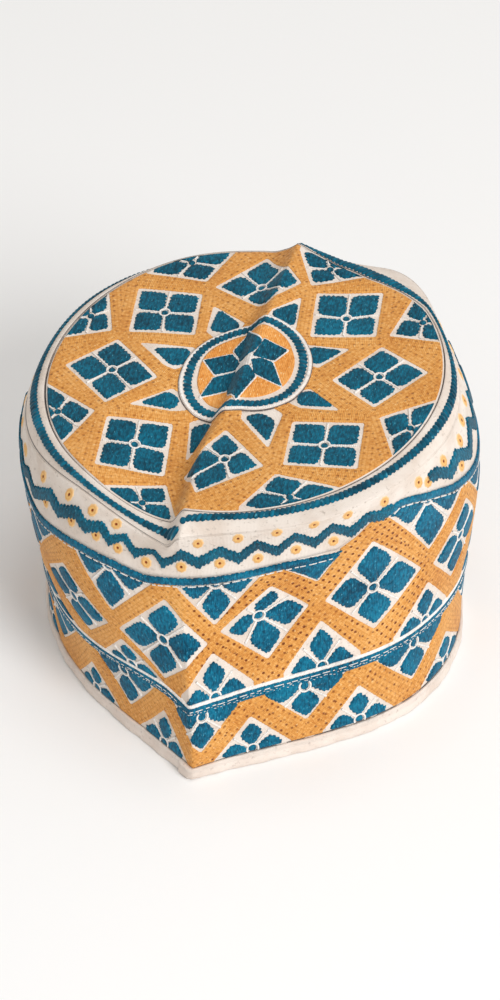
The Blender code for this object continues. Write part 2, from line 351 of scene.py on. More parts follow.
def put(name, data):
    """A new object in the scene."""
    thing = bpy.data.objects.new(name, data)
    bpy.context.scene.collection.objects.link(thing)
    return thing


class Mesh:
    """Gathers blocks of points and faces, with a flat place for each corner, into one piece."""

    def __init__(self, name):
        self.name = name
        self.points = []
        self.loops = []
        self.sizes = []
        self.flats = []
        self.marks = []
        self.count = 0
        self.queue = []

    def add(self, points, flat, *face_blocks, mark=0.0, by_corner=False):
        """flat gives a flat place for each point or, by corner, for each corner of each face."""
        points = np.asarray(points, float).reshape(-1, 3)
        flat = np.asarray(flat, float).reshape(-1, 2)
        for faces in face_blocks:
            self.loops.append(faces.ravel() + self.count)
            self.sizes.append(np.full(len(faces), faces.shape[1]))
            self.flats.append(flat if by_corner else flat[faces.ravel()])
        self.points.append(points)
        self.marks.append(np.broadcast_to(np.asarray(mark, float), (len(points),)))
        self.count += len(points)

    def grid(self, points, flat, round_a=False, round_b=False, caps=()):
        """Points of shape (rows, columns, 3). caps names the rows, 0 or -1, that a face closes."""
        rows, columns = points.shape[:2]
        r = np.arange(rows if round_a else rows - 1)[:, None]
        c = np.arange(columns if round_b else columns - 1)[None]
        r2 = (r + 1) % rows
        c2 = (c + 1) % columns
        quads = np.stack([r * columns + c, r * columns + c2, r2 * columns + c2, r2 * columns + c], -1)
        ring = np.arange(columns)[None]
        ends = {0: ring[:, ::-1], -1: ring + (rows - 1) * columns}
        self.add(points, flat, quads.reshape(-1, 4), *(ends[row] for row in caps))

    def build(self, material):
        mesh = bpy.data.meshes.new(self.name)
        points = np.concatenate(self.points)
        points = (points - (OUTLINE_MIDDLE[0], OUTLINE_MIDDLE[1], 0.0)) * MM
        loops = np.concatenate(self.loops)
        sizes = np.concatenate(self.sizes)
        mesh.vertices.add(len(points))
        mesh.vertices.foreach_set("co", points.ravel())
        mesh.loops.add(len(loops))
        mesh.loops.foreach_set("vertex_index", loops)
        mesh.polygons.add(len(sizes))
        mesh.polygons.foreach_set("loop_start", np.concatenate([[0], np.cumsum(sizes)[:-1]]))
        mesh.update(calc_edges=True)
        mesh.validate()
        layer = mesh.uv_layers.new(name="flat")
        layer.data.foreach_set("uv", (np.concatenate(self.flats) * UV_SCALE).ravel())
        marks = mesh.attributes.new("mark", "FLOAT", "POINT")
        marks.data.foreach_set("value", np.concatenate(self.marks))
        mesh.shade_smooth()
        mesh.materials.append(material)
        piece = put(self.name, mesh)
        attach(piece, "root")
        return piece


def wave(length, pitch, phase=0.0):
    """An even wave along a length."""
    return np.sin(length / pitch * math.tau + phase)


CORNER_SHARE = 0.45
CORNER_STEPS = 7


def rounded_path(points, radius, step, closed):
    """A polyline with its corners eased, cut into short steps: its points, their lengths, the total."""
    points = np.asarray(points, float)
    count = len(points)
    out = []
    for i in range(count):
        p = points[i]
        if not closed and i in (0, count - 1):
            out.append(p[None])
            continue
        ends = []
        for run in (points[(i - 1) % count] - p, points[(i + 1) % count] - p):
            long = np.linalg.norm(run)
            ends.append(p + run / long * min(radius, long * CORNER_SHARE))
        out.append(eased(ends[0], p, ends[1], CORNER_STEPS))
    line = np.concatenate(out)
    if closed:
        line = np.concatenate([line, line[:1]])
    lengths = lengths_along(line)
    total = max(2, int(round(lengths[-1] / step)))
    at = np.linspace(0, lengths[-1], total + 1)
    path = np.stack([np.interp(at, lengths, line[:, k]) for k in (0, 1)], -1)
    return (path[:-1], at[:-1], lengths[-1]) if closed else (path, at, lengths[-1])


def counter(loop):
    """The loop, turned anticlockwise."""
    x, y = loop.T
    area = (x * np.roll(y, -1) - y * np.roll(x, -1)).sum()
    return loop if area > 0 else loop[::-1]


def path_sides(path, closed):
    """Unit directions across a path, to its left."""
    if closed:
        run = np.roll(path, -1, axis=0) - np.roll(path, 1, axis=0)
    else:
        run = np.gradient(path, axis=0)
    return left_of(run / np.linalg.norm(run, axis=1)[:, None])


# A band's section: share of half its width, share of its height.
BAND_PROFILE = ((-1.0, -0.12), (-0.97, 0.55), (-0.8, 0.92), (-0.4, 1.0), (0.0, 1.0),
                (0.4, 1.0), (0.8, 0.92), (0.97, 0.55), (1.0, -0.12))


def band(mesh, place, points, width, height, step=0.8, radius=0.0, closed=False, ruffle=0.0,
         pitch=1.6, lift=0.0, wrap=0.0, taper=None, upright=False):
    """A raised band of stitches along a path on the cloth. upright measures its width straight up."""
    points = np.asarray(points, float)
    if wrap:
        points = np.concatenate([points, points[:1] + (wrap, 0.0)])
    path, at, total = rounded_path(points, radius, step, closed)
    if wrap:
        longer = np.concatenate([path[-2:-1] - (wrap, 0), path, path[1:2] + (wrap, 0)])
        across = path_sides(longer, False)[1:-1]
    else:
        across = path_sides(path, closed)
    if upright:
        across = np.broadcast_to((0.0, 1.0), path.shape)
    half = np.full(len(path), width / 2.0)
    if taper is not None:
        half = half * taper(at / total)
    left = half + ruffle * wave(at, pitch) + ruffle * 0.5 * wave(at, pitch * 2.7, 1.0)
    right = half + ruffle * wave(at, pitch, 2.0) + ruffle * 0.5 * wave(at, pitch * 2.3, 3.0)
    rows = []
    flats = []
    for share, rise in BAND_PROFILE:
        reach = np.where(share >= 0, left, right) * share
        p = path + across * reach[:, None]
        rows.append(place(p[:, 0], p[:, 1], height * rise + (lift if rise > 0 else 0.0)))
        flats.append(np.stack([at, share * half], -1))
    mesh.grid(np.stack(rows)[::-1], np.stack(flats)[::-1], round_b=closed)


# A pad's section: share of its outline, share of its height.
PAD_RINGS = ((1.0, -0.12), (0.955, 0.5), (0.87, 0.85), (0.68, 1.0), (0.4, 1.0), (0.1, 1.03))
FINE_RINGS = ((1.0, -0.12), (0.985, 0.8)) + tuple((share / 20, 1.0) for share in range(19, 0, -1))


def pad(mesh, place, outline, height, rings=PAD_RINGS, lift=0.0):
    """A raised patch of stitches with a round-edged outline."""
    outline = np.asarray(outline, float)
    middle = outline.mean(axis=0)
    flats = [middle + (outline - middle) * share for share, rise in rings]
    points = [
        place(p[:, 0], p[:, 1], height * rise + (lift if rise > 0 else 0.0))
        for p, (share, rise) in zip(flats, rings)
    ]
    mesh.grid(np.stack(points), np.stack(flats), round_b=True, caps=(-1,))


# The level between a bump's foot and top that lies on the outline, and how uneven the bumps are.
BUMP_LEVEL = 0.6
BUMP_UNEVEN = 0.3


def scalloped(line, pitch, depth):
    """An even, closed outline with small round bumps, as close stitches leave it."""
    path, at, total = rounded_path(line, 0.0, pitch / 4.0, True)
    bumps = max(3, round(total / pitch))
    out = path_sides(path, True)
    middle = path.mean(axis=0)
    if ((path - middle) * out).sum() < 0:
        out = -out
    size = depth * (np.abs(np.sin(at / total * bumps * math.pi)) - BUMP_LEVEL)
    size = size + rng.normal(0.0, depth * BUMP_UNEVEN, len(path))
    return path + out * size[:, None]


def quad_place(quad, s, t):
    """Places in a quadrilateral at shares s and t along its sides."""
    c, m1, k, m2 = (np.asarray(q, float) for q in quad)
    s = np.asarray(s)[:, None]
    t = np.asarray(t)[:, None]
    return (1 - s) * (1 - t) * c + s * (1 - t) * m1 + s * t * k + (1 - s) * t * m2


# The pitch and depth of the small bumps round a petal.
SCALLOP = 2.1
SCALLOP_DEPTH = 0.5
PETAL_CORNER_STEPS = 4
# A flower's measures: gap beside each petal, how much it widens outwards, margin to the field's edge,
# rounding of a petal's inner corner, of its side corners and of its tip, width of the white lines,
# radius and width of the ring.
CROWN_FLOWER = {"gap": 0.6, "wedge": 0.2, "margin": 1.25, "inner": 2.1, "corner": 2.9, "tip": 1.0,
                "line": 0.62, "radius": 2.2, "ring": 0.65}
WALL_FLOWER = {"gap": 0.7, "wedge": 0.9, "margin": 1.5, "inner": 2.3, "corner": 3.8, "tip": 1.4,
               "line": 0.85, "radius": 2.5, "ring": 0.8}
HANGING_FLOWER = {**WALL_FLOWER, "margin": 0.9}
RISING_FLOWER = {**WALL_FLOWER, "margin": 2.1, "corner": 3.2}


def petal(quad, sizes):
    """A petal in one quarter of a field: rounded corners, the inner one cut for the ring."""
    a = np.linalg.norm(np.subtract(quad[1], quad[0]))
    b = np.linalg.norm(np.subtract(quad[3], quad[0]))
    size = np.array((1.0 / a, 1.0 / b))
    low = sizes["gap"] * size
    high = 1.0 - sizes["margin"] * size
    wide = low + sizes["wedge"] * size
    corners = (
        (low[0], low[1], sizes["inner"]), (high[0], wide[1], sizes["corner"]),
        (high[0], high[1], sizes["tip"]), (wide[0], high[1], sizes["corner"]),
    )
    line = []
    for i, (s, t, r) in enumerate(corners):
        here = np.array((s, t))
        ends = []
        for other in (corners[i - 1], corners[(i + 1) % 4]):
            run = (np.array(other[:2]) - here) / size
            ends.append(here + run / np.linalg.norm(run) * r * size)
        line.append(eased(ends[0], here, ends[1], PETAL_CORNER_STEPS))
    line = np.concatenate(line)
    return scalloped(quad_place(quad, line[:, 0], line[:, 1]), SCALLOP, SCALLOP_DEPTH)


def circle(count):
    """Directions in radians, evenly round."""
    return np.arange(count) / count * math.tau


def ring_outline(centre, radius, squash=1.0, count=28):
    """A closed circle, or an ellipse where squash isn't one."""
    return centre + polar(radius, circle(count)) * (1.0, squash)


def inside(points, loop):
    """Which points lie inside a closed loop."""
    low = loop.min(axis=0)
    high = loop.max(axis=0)
    near = ((points >= low) & (points <= high)).all(axis=1)
    found = np.zeros(len(points), bool)
    if not near.any():
        return found
    x = points[near, 0][:, None]
    y = points[near, 1][:, None]
    a = loop
    b = np.roll(loop, -1, axis=0)
    crosses = (a[:, 1] > y) != (b[:, 1] > y)
    rise = np.where(b[:, 1] == a[:, 1], 1.0, b[:, 1] - a[:, 1])
    at = a[:, 0] + (y - a[:, 1]) / rise * (b[:, 0] - a[:, 0])
    found[near] = (crosses & (x < at)).sum(axis=1) % 2 == 1
    return found


# How much wider the fields are than their tables say, and the lips beside their edges.
FIELD_MORE = 0.35
FIELD_ROUNDING = 0.6
EDGE_WAVE = 0.10
EDGE_PITCH = 1.7
EDGE_UNEVEN = 0.05
LIP = 0.4
LIP_STEP = 0.8
FOLD_STEP = 0.7
# The loose points: how near the rows are to each other, and how far they stay from an edge.
ROW_SHARE = 0.87
EDGE_CLEAR = 1.0
# The ground's edge: share of the height, and how far it goes into the cloth.
GROUND_EDGE = 0.55
GROUND_FOOT = -0.12
# The rows of holes: distance from a field's side, and how far the patterns of the strips are apart.
FIELD_ROW = 3.4
STRIP_SHIFT = 7.3
PAST_END = 1.5
BEHIND = -0.5
MERGE = 1e-4


def field_loops(outer, holes):
    """The outline and its fields in short steps, with uneven edges to the fields."""
    loops = []
    for i, loop in enumerate([outer] + holes):
        path, at, _ = rounded_path(counter(loop), FIELD_ROUNDING if i else 0.0, LIP_STEP, True)
        if i:
            uneven = rng.normal(0.0, EDGE_UNEVEN, len(path))
            size = FIELD_MORE + EDGE_WAVE * wave(at, EDGE_PITCH) + uneven
            path = path - path_sides(path, True) * size[:, None]
        loops.append(path)
    return loops


def between(points, loops):
    """Which points lie in the first loop and in none of the others."""
    found = inside(points, loops[0])
    for loop in loops[1:]:
        found &= ~inside(points, loop)
    return found


def nearest_square(points, others):
    """The square of each point's distance from the nearest of the others."""
    return np.array([np.min(np.sum((others - p) ** 2, axis=1)) for p in points])


def filling(outer, loops, spacing, fold):
    """The points of a ground: a loose grid, the lips of each edge, and those of the fold."""
    (left, foot), (right, head) = outer.min(axis=0), outer.max(axis=0)
    rows = []
    for j, y in enumerate(np.arange(foot + spacing / 2, head, spacing * ROW_SHARE)):
        xs = np.arange(left + spacing * (0.5 if j % 2 else 1.0), right, spacing)
        rows.append(np.stack([xs, np.full_like(xs, y)], -1))
    extra = np.concatenate(rows)
    extra = extra[nearest_square(extra, np.concatenate(loops)) > EDGE_CLEAR**2]
    lips = [loop + path_sides(loop, True) * reach for loop in loops for reach in (LIP, -LIP)]
    extra = np.concatenate([extra, *lips])
    extra = np.concatenate([extra[nearest_square(extra, fold) >= FOLD_STEP**2], fold])
    return extra[between(extra, loops)]


def stitch_rows(middle, corners, edges):
    """Flat places of the triangles' corners: along and across the nearest side of a field."""
    starts, ends = np.array(edges, float).swapaxes(0, 1)
    run = ends - starts
    long = np.linalg.norm(run, axis=1)
    run = run / long[:, None]
    across = left_of(run)
    best = np.full(len(middle), np.inf)
    which = np.zeros(len(middle), int)
    for i in range(len(edges)):
        gap = middle - starts[i]
        s = gap @ run[i]
        n = gap @ across[i]
        beyond = np.maximum(0.0, np.maximum(-s, s - long[i]))
        cost = np.abs(n - FIELD_ROW) + beyond * PAST_END
        better = (cost < best) & (n > BEHIND)
        best[better] = cost[better]
        which[better] = i
    gap = corners - starts[which][:, None]
    along_it = (gap * run[which][:, None]).sum(-1)
    across_it = (gap * across[which][:, None]).sum(-1) - FIELD_ROW
    return np.stack([along_it + which[:, None] * STRIP_SHIFT, across_it], -1)


def ground(mesh, place, outer, holes, height, edges, spacing, mark, fold, open_ends=None):
    """A raised ground of stitches with fields left open in it.

    edges are the sides of the fields, from whose direction the rows of stitches take theirs. fold is a
    row of points down a sharp fold, so that the ground turns with the cloth. open_ends is the distance
    from the front at which the ground's two ends meet."""
    loops = field_loops(outer, holes)
    lines = []
    start = 0
    for loop in loops:
        count = len(loop)
        lines.extend((start + i, start + (i + 1) % count) for i in range(count))
        start += count
    coords = np.concatenate(loops + [filling(outer, loops, spacing, fold)])
    result = delaunay_2d_cdt([Vector(c) for c in coords.tolist()], lines, [], 0, MERGE)
    flat = np.array([(v[0], v[1]) for v in result[0]])
    triangles = np.array(result[2])
    middle = flat[triangles].mean(axis=1)
    keep = between(middle, loops)
    triangles = triangles[keep]
    middle = middle[keep]
    used, triangles = np.unique(triangles, return_inverse=True)
    triangles = triangles.reshape(-1, 3)
    flat = flat[used]
    a = flat[triangles]
    turn = np.cross(a[:, 1] - a[:, 0], a[:, 2] - a[:, 0])
    triangles[turn < 0] = triangles[turn < 0][:, ::-1]
    sides = np.concatenate([triangles[:, [0, 1]], triangles[:, [1, 2]], triangles[:, [2, 0]]])
    code = sides[:, 0] * len(flat) + sides[:, 1]
    back = sides[:, 1] * len(flat) + sides[:, 0]
    rim = sides[~np.isin(code, back)]
    if open_ends is not None:
        ends = np.abs(np.abs(flat[:, 0]) - open_ends) < 0.01
        rim = rim[~(ends[rim[:, 0]] & ends[rim[:, 1]])]
    rise = np.full(len(flat), height)
    rise[np.unique(rim)] = height * GROUND_EDGE
    points = place(flat[:, 0], flat[:, 1], rise)
    rows = stitch_rows(middle, flat[triangles], edges)
    mesh.add(points, rows, triangles, mark=mark(flat), by_corner=True)
    # the edge, down to the cloth
    low_points = place(flat[:, 0], flat[:, 1], np.full(len(flat), GROUND_FOOT))
    count = len(flat)
    skirt = np.stack([rim[:, 1], rim[:, 0], rim[:, 0] + count, rim[:, 1] + count], -1)
    used, skirt = np.unique(skirt, return_inverse=True)
    mesh.add(np.concatenate([points, low_points])[used], np.concatenate([flat, flat])[used],
             skirt.reshape(-1, 4))


def fields(kind, k):
    """The corners of a field in column k, which may be past the last one."""
    table, plain = FIELDS[kind]
    near = (k + 5) % COLUMN_COUNT - 5
    if near in table:
        return np.array(table[near], float) + ((k - near) * PITCH, 0.0)
    return np.array([(FIRST_COLUMN + k * PITCH + u, v) for u, v in plain])


def wrapped(u):
    """The place along the cloth, counted from the front corner both ways."""
    return (np.asarray(u, float) + HALF_TURN) % CLOTH_LENGTH - HALF_TURN


def middle_line(u):
    """The height of the white line between the tiers."""
    return read(MIDDLE_LINE, wrapped(u))


def blue_line(u):
    """The upper edge of the blue line, which marks the band's lower edge."""
    near = wrapped(u)
    climb = np.where(near < BLUE_LINE_CLIMB[-1, 0], read(BLUE_LINE_CLIMB, near), read(BLUE_LINE_RIGHT, near))
    return np.where(near < BLUE_LINE_CLIMB[0, 0], read(BLUE_LINE, near), climb)


def above(line, more):
    """A line that lies higher on the cloth than another, or lower where more is below nought."""
    return lambda u: line(u) + more


def constant(v):
    """A level line."""
    return lambda u: np.full_like(u, v)


# The materials.
BLACK = (0.0, 0.0, 0.0, 1.0)
WHITE = (1.0, 1.0, 1.0, 1.0)
SPECULAR = 0.12
STRAND_SCALE = 0.42
ROW_SCALE = 0.18
# How much the grooves between the rows of stitches are darkened, and the colour of the needle holes: both
# painted shade.
ROW_SHADE = 0.42
HOLE_PITCH = 3.3
NEEDLE_HOLE_SHADE = (128, 62, 22)


def linear(r, g, b):
    """A colour as the picture gives it, for the renderer."""
    out = []
    for c in (r, g, b):
        c /= 255.0
        out.append(c / 12.92 if c <= 0.04045 else ((c + 0.055) / 1.055) ** 2.4)
    return (*out, 1.0)


class Finish:
    """A material in the making. Each call adds a node and gives its output."""

    def __init__(self, name, roughness, sheen=0.0):
        self.material = bpy.data.materials.new(name)
        self.material.use_nodes = True
        self.tree = self.material.node_tree
        self.shader = self.tree.nodes["Principled BSDF"]
        self.join(self.shader, {
            "Roughness": roughness, "Metallic": 0.0, "Sheen Weight": sheen, "Specular IOR Level": SPECULAR,
        })

    def join(self, n, inputs):
        """Sets a node's inputs, or links them where the value is another node's output."""
        for socket, value in inputs.items():
            if isinstance(value, bpy.types.NodeSocket):
                self.tree.links.new(value, n.inputs[socket])
            else:
                n.inputs[socket].default_value = value

    def node(self, kind, inputs, output=0, **settings):
        n = self.tree.nodes.new("ShaderNode" + kind)
        for name, value in settings.items():
            setattr(n, name, value)
        self.join(n, inputs)
        return n.outputs[output]

    def math(self, operation, *values):
        return self.node("Math", dict(enumerate(values)), operation=operation)

    def ramp(self, source, *stops):
        n = self.tree.nodes.new("ShaderNodeValToRGB")
        elements = n.color_ramp.elements
        while len(elements) < len(stops):
            elements.new(0.5)
        for element, (place, colour) in zip(elements, stops):
            element.position = place
            element.color = colour
        self.join(n, {"Fac": source})
        return n.outputs["Color"]

    def mask(self, source, low, high):
        """Black below low and white above high."""
        return self.ramp(source, (low, BLACK), (high, WHITE))

    def mix(self, factor, a, b):
        return self.node("Mix", {"Factor": factor, "A": a, "B": b}, "Result", data_type="RGBA")

    def share(self, value, low, high):
        """Nought at low and one at high, which may be the smaller."""
        return self.node("MapRange", {"Value": value, "From Min": low, "From Max": high})

    def flat_uv(self):
        return self.node("UVMap", {}, "UV", uv_map="flat")

    def flat_place(self, scale=(1.0, 1.0, 1.0)):
        """The flat place on the cloth in millimetres, times a scale."""
        size = tuple(s / UV_SCALE for s in scale)
        return self.node("Mapping", {"Vector": self.flat_uv(), "Scale": size}, "Vector")

    def object_place(self):
        """The place on the object in millimetres."""
        place = self.node("TexCoord", {}, "Object")
        return self.node("Mapping", {"Vector": place, "Scale": (1000.0, 1000.0, 1000.0)}, "Vector")

    def noise(self, vector, scale, detail=2.0, roughness=0.5):
        return self.node("TexNoise", {
            "Vector": vector, "Scale": scale, "Detail": detail, "Roughness": roughness,
        }, "Fac")

    def stripes(self, vector, scale, direction, distortion):
        return self.node("TexWave", {
            "Vector": vector, "Scale": scale, "Distortion": distortion, "Detail": 1.0,
        }, "Fac", wave_type="BANDS", bands_direction=direction)

    def finish(self, tint, height, distance, strength):
        """Joins the colour and a bump to the shader."""
        bump = self.node("Bump", {"Height": height, "Distance": distance, "Strength": strength}, "Normal")
        self.join(self.shader, {"Base Color": tint, "Normal": bump})
        return self.material


def cotton(name, *colours):
    """Plain woven white cotton, a little grubby: its colour, its shade and its specks."""
    colour, shade, specks = (linear(*c) for c in colours)
    m = Finish(name, 0.85, 0.1)
    place = m.flat_place()
    spot = m.object_place()
    tint = m.ramp(m.noise(spot, 0.07, 4.0, 0.6), (0.36, shade), (0.6, colour))
    tint = m.mix(m.mask(m.noise(spot, 0.5, 2.0, 0.6), 0.60, 0.78), tint, specks)
    weave = m.math("ADD", m.stripes(place, 0.55, "X", 0.6), m.stripes(place, 0.55, "Y", 0.6))
    return m.finish(tint, m.math("ADD", weave, m.noise(place, 1.6, 3.0, 0.6)), 0.00015, 0.5)


def thread(name, *colours, holes=False, fleck_from=0.63):
    """Close stitches with fine strands: their light, main and dark colours and that of small flecks."""
    light, main, dark, fleck = (linear(*c) for c in colours)
    m = Finish(name, 0.62, 0.1)
    place = m.flat_place()
    strands = m.stripes(place, STRAND_SCALE, "X", 2.0)
    clumps = m.noise(m.flat_place((1.0, 0.45, 1.0)), 0.9, 2.0, 0.6)
    patches = m.noise(m.object_place(), 0.05, 2.0, 0.5)
    blend = m.math("ADD", m.math("MULTIPLY", clumps, 0.65), m.math("MULTIPLY", patches, 0.35))
    tint = m.ramp(blend, (0.36, dark), (0.5, main), (0.62, light))
    flecks = m.noise(m.flat_place((1.0, 0.4, 1.0)), 1.3, 1.0, 0.5)
    tint = m.mix(m.mask(flecks, fleck_from, fleck_from + 0.09), tint, fleck)
    height = m.math("ADD", m.math("MULTIPLY", strands, 0.6), clumps)
    if holes:
        # dark lines along the rows of stitches are painted shade of their grooves; the needle holes are sunk
        # by the bump and painted dark, painted shade of the holes
        rows = m.share(m.stripes(place, ROW_SCALE, "Y", 1.2), 0.35, 0.0)
        tint = m.mix(m.math("MULTIPLY", rows, ROW_SHADE), tint, dark)
        dots = hole_mask(m)
        tint = m.mix(dots, tint, linear(*NEEDLE_HOLE_SHADE))
        height = m.math("SUBTRACT", height, m.math("MULTIPLY", dots, 2.5))
    return m.finish(tint, height, 0.0003, 0.7)


def hole_mask(m):
    """Small needle holes in rows along each strip of stitches, sunk by the bump and darkened with painted
    shade.
    """
    wobble = m.share(m.noise(m.flat_place(), 0.3, 1.0), -2.2, 3.2)
    squares = []
    for axis, more in (("X", m.math("MULTIPLY", wobble, 0.25)), ("Y", 0.0)):
        place = m.node("SeparateXYZ", {0: m.flat_uv()}, axis)
        place = m.math("ADD", m.math("MULTIPLY", place, 1.0 / UV_SCALE / HOLE_PITCH), more)
        step = m.math("MULTIPLY", m.math("SUBTRACT", m.math("FRACT", place), 0.5), HOLE_PITCH)
        squares.append(m.math("MULTIPLY", step, step))
    dot = m.share(m.math("SQRT", m.math("ADD", *squares)), 0.75, 0.3)
    mark = m.node("Attribute", {}, "Fac", attribute_name="mark")
    uneven = m.share(m.noise(m.object_place(), 0.12, 1.0, 0.5), 0.35, 0.6)
    strength = m.math("MULTIPLY", mark, m.math("ADD", uneven, 0.45))
    return m.math("MINIMUM", m.math("MULTIPLY", dot, strength), 1.0)


EYELET_STOPS = (
    (0.22, (196, 100, 44)), (0.36, (238, 172, 94)), (0.5, (250, 204, 130)), (0.68, (240, 178, 102)),
    (0.98, (250, 216, 166)),
)
EYELET_REACH = 3.0


def eyelet_thread():
    """Stitches round a hole: pale at their outer ends, darker at the hole."""
    m = Finish("eyelet_thread", 0.62, 0.1)
    reach = m.node("SeparateXYZ", {0: m.flat_place()}, "Y")
    reach = m.math("ADD", reach, m.share(m.noise(m.object_place(), 0.9), -4.0, 5.0))
    stops = ((place, linear(*colour)) for place, colour in EYELET_STOPS)
    tint = m.ramp(m.math("DIVIDE", reach, EYELET_REACH), *stops)
    return m.finish(tint, m.stripes(m.flat_place(), 0.7, "X", 1.0), 0.0002, 0.5)


COTTON = cotton("cotton", (239, 228, 218), (226, 211, 198), (194, 181, 169))
BINDING = cotton("binding_cotton", (241, 229, 219), (229, 213, 201), (206, 191, 180))
ORANGE = thread("orange_thread", (238, 179, 106), (225, 159, 81), (198, 127, 56), (246, 202, 142),
                holes=True, fleck_from=0.66)
ORANGE_PLAIN = thread("orange_plain", (246, 180, 104), (236, 160, 80), (214, 134, 56), (250, 206, 146))
EYELET = eyelet_thread()
BLUE = thread("blue_thread", (4, 110, 138), (0, 84, 108), (0, 54, 72), (66, 144, 166), fleck_from=0.66)
# The same blue thread as on the crown, made lighter for the wall's flowers and lines: painted sheen.
BLUE_WALL_SHEEN = thread("blue_wall_painted_sheen", (14, 122, 154), (0, 96, 127), (0, 62, 86), (74, 154, 180), fleck_from=0.65)
CREAM = thread("white_thread", (250, 246, 242), (240, 234, 228), (216, 210, 206), (255, 252, 250),
               fleck_from=0.7)
# Dark brownish pads in the eyelets' holes: painted shade of the holes.
EYELET_HOLE_SHADE = thread("hole_shade_thread", (150, 70, 26), (124, 50, 16), (90, 34, 12), (150, 70, 26))
# Grey lines of painted shade: in the gap of the crown's seam, along the ring's fold, round the roundel's
# raised edge and along the binding's top edge.
SEAM_SHADE_GREY = thread("seam_shadow", (140, 130, 126), (112, 104, 102), (84, 78, 78), (160, 150, 146))

rng = np.random.default_rng(SEED)

# The cloth of the side, in three strips.
GRID_U = 480
AROUND = np.arange(GRID_U) / GRID_U * CLOTH_LENGTH
BAND_FOOT = blue_line(AROUND)


def shell(name, low, high, rows):
    """A strip of cloth round the cap between two lines, closed round its edges."""
    low, high = np.broadcast_to(low, AROUND.shape), np.broadcast_to(high, AROUND.shape)
    heights = low + (high - low) * np.linspace(0, 1, rows + 1)[:, None]
    outer = side(AROUND[None], heights, 0.0)
    inner = side(AROUND[None], heights, -CLOTH)
    flat = np.stack([np.broadcast_to(AROUND, heights.shape), heights], -1)
    mesh = Mesh(name)
    mesh.grid(np.concatenate([outer, inner[::-1]]), np.concatenate([flat, flat[::-1]]),
              round_a=True, round_b=True)
    return mesh.build(COTTON)


wall_cloth = shell("wall_cloth", low=1.4, high=BAND_FOOT - 0.2, rows=48)
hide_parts("side_wall")
band_cloth = shell("band_cloth", low=BAND_FOOT + 0.2, high=RIM_V - 0.1, rows=14)
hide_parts("upper_band")
ring_cloth = shell("ring_cloth", low=RIM_V + 0.1, high=SEAM_V - 0.1, rows=12)
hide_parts("crown_ring")


def plate(name, outline_radius, low, high, rows):
    """A round patch of cloth that lies on the crown."""
    angle = circle(300)
    shares = np.concatenate([[0.02], np.linspace(0.06, 1, rows)])
    flat = shares[:, None, None] * polar(outline_radius(angle), angle)
    x, y = flat[..., 0], flat[..., 1]
    points = np.concatenate([top(x, y, high), top(x, y, low)[::-1]])
    mesh = Mesh(name)
    mesh.grid(points[::-1], np.concatenate([flat, flat[::-1]]), round_b=True, caps=(0, -1))
    return mesh.build(COTTON)


crown_cloth = plate("crown_cloth", lambda a: seam_radius(a) - 0.4, low=-CLOTH, high=0.0, rows=70)
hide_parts("crown_panel")

# How high above the crown's cloth the roundel's cloth ends.
ROUNDEL_LIFT = 1.0
# The roundel's lines: direction in degrees, radius of its edge, of its rope and of its orange ground.
ROUNDEL = np.array((
    (-182, 26.8, 23.2, 19.7), (-149, 27.8, 24.0, 19.8), (-128, 27.3, 23.6, 19.8), (-111, 25.5, 22.0, 18.4),
    (-98, 24.0, 20.6, 17.6), (-83, 22.8, 19.8, 16.8), (-57, 25.4, 22.0, 18.3), (-32, 27.5, 23.9, 19.8),
    (6, 27.7, 24.0, 20.6), (37, 29.0, 25.5, 22.2), (60, 30.9, 27.6, 24.6), (78, 31.8, 28.8, 26.0),
    (93, 31.6, 28.6, 25.8), (119, 28.8, 26.0, 23.2), (144, 27.4, 24.8, 22.2), (178, 26.8, 23.2, 19.7),
), float)
ROUNDEL_EDGE, ROUNDEL_ROPE, ROUNDEL_GROUND = 1, 2, 3


def roundel_radius(angle, kind):
    """A column of the roundel's table, in directions in radians."""
    return read(ROUNDEL, (np.degrees(angle) + 182.0) % 360.0 - 182.0, kind)


def round_line(kind, more=0.0, count=96):
    """A closed line round the roundel, from a column of its table."""
    angle = circle(count)
    radius = roundel_radius(angle, kind)
    for _ in range(3):
        radius = (np.roll(radius, 1) + 2 * radius + np.roll(radius, -1)) / 4
    return polar(radius + more, angle)


roundel_cloth = plate("roundel_cloth", lambda a: roundel_radius(a, ROUNDEL_EDGE), low=0.3,
                      high=ROUNDEL_LIFT, rows=26)
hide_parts("crown_roundel")

# The binding's section: out from the cloth, up from the hem.
BINDING_PROFILE = (
    (1.35, 6.0), (1.0, 6.5), (0.3, 6.6), (0.25, 1.1), (-1.85, 1.1), (-1.9, 6.5), (-2.65, 6.5),
    (-2.95, 6.0), (-2.95, 3.0), (-2.95, 1.0), (-2.6, 0.25), (-2.05, 0.02),
    (0.45, 0.02), (1.05, 0.3), (1.35, 1.0), (1.45, 2.5), (1.4, 4.5),
)
OUTER_SIDE = 0.9
# The folded end of the strip laps over itself at the front corner.
LAP_START = -7.5
LAP_END = 0.5
LAP_RISE = 1.4
LAP_START_OVER = 1.5
LAP_END_OVER = 2.0
# The binding's ripples: size, pitch and phase.
RIPPLES = ((0.18, 23.2, 0.0), (0.12, 9.67, 1.0))
BINDING_FLAT_STEP = 1.5


def binding():
    u = AROUND
    near = wrapped(u)
    ripple = sum(size * wave(u, pitch, phase) for size, pitch, phase in RIPPLES)
    lap = smooth_step((near - LAP_START) / LAP_START_OVER) * smooth_step((LAP_END - near) / LAP_END_OVER)
    ripple = ripple + LAP_RISE * lap
    rows = []
    for h, v in BINDING_PROFILE:
        row = side(u, np.full_like(u, v), h + (ripple if h > OUTER_SIDE else 0.0))
        row[:, 2] = v
        rows.append(row)
    flat = np.stack([np.stack([u, np.full_like(u, i * BINDING_FLAT_STEP)], -1) for i in range(len(rows))])
    mesh = Mesh("binding_cloth")
    mesh.grid(np.stack(rows), flat, round_a=True, round_b=True)
    return mesh.build(BINDING)


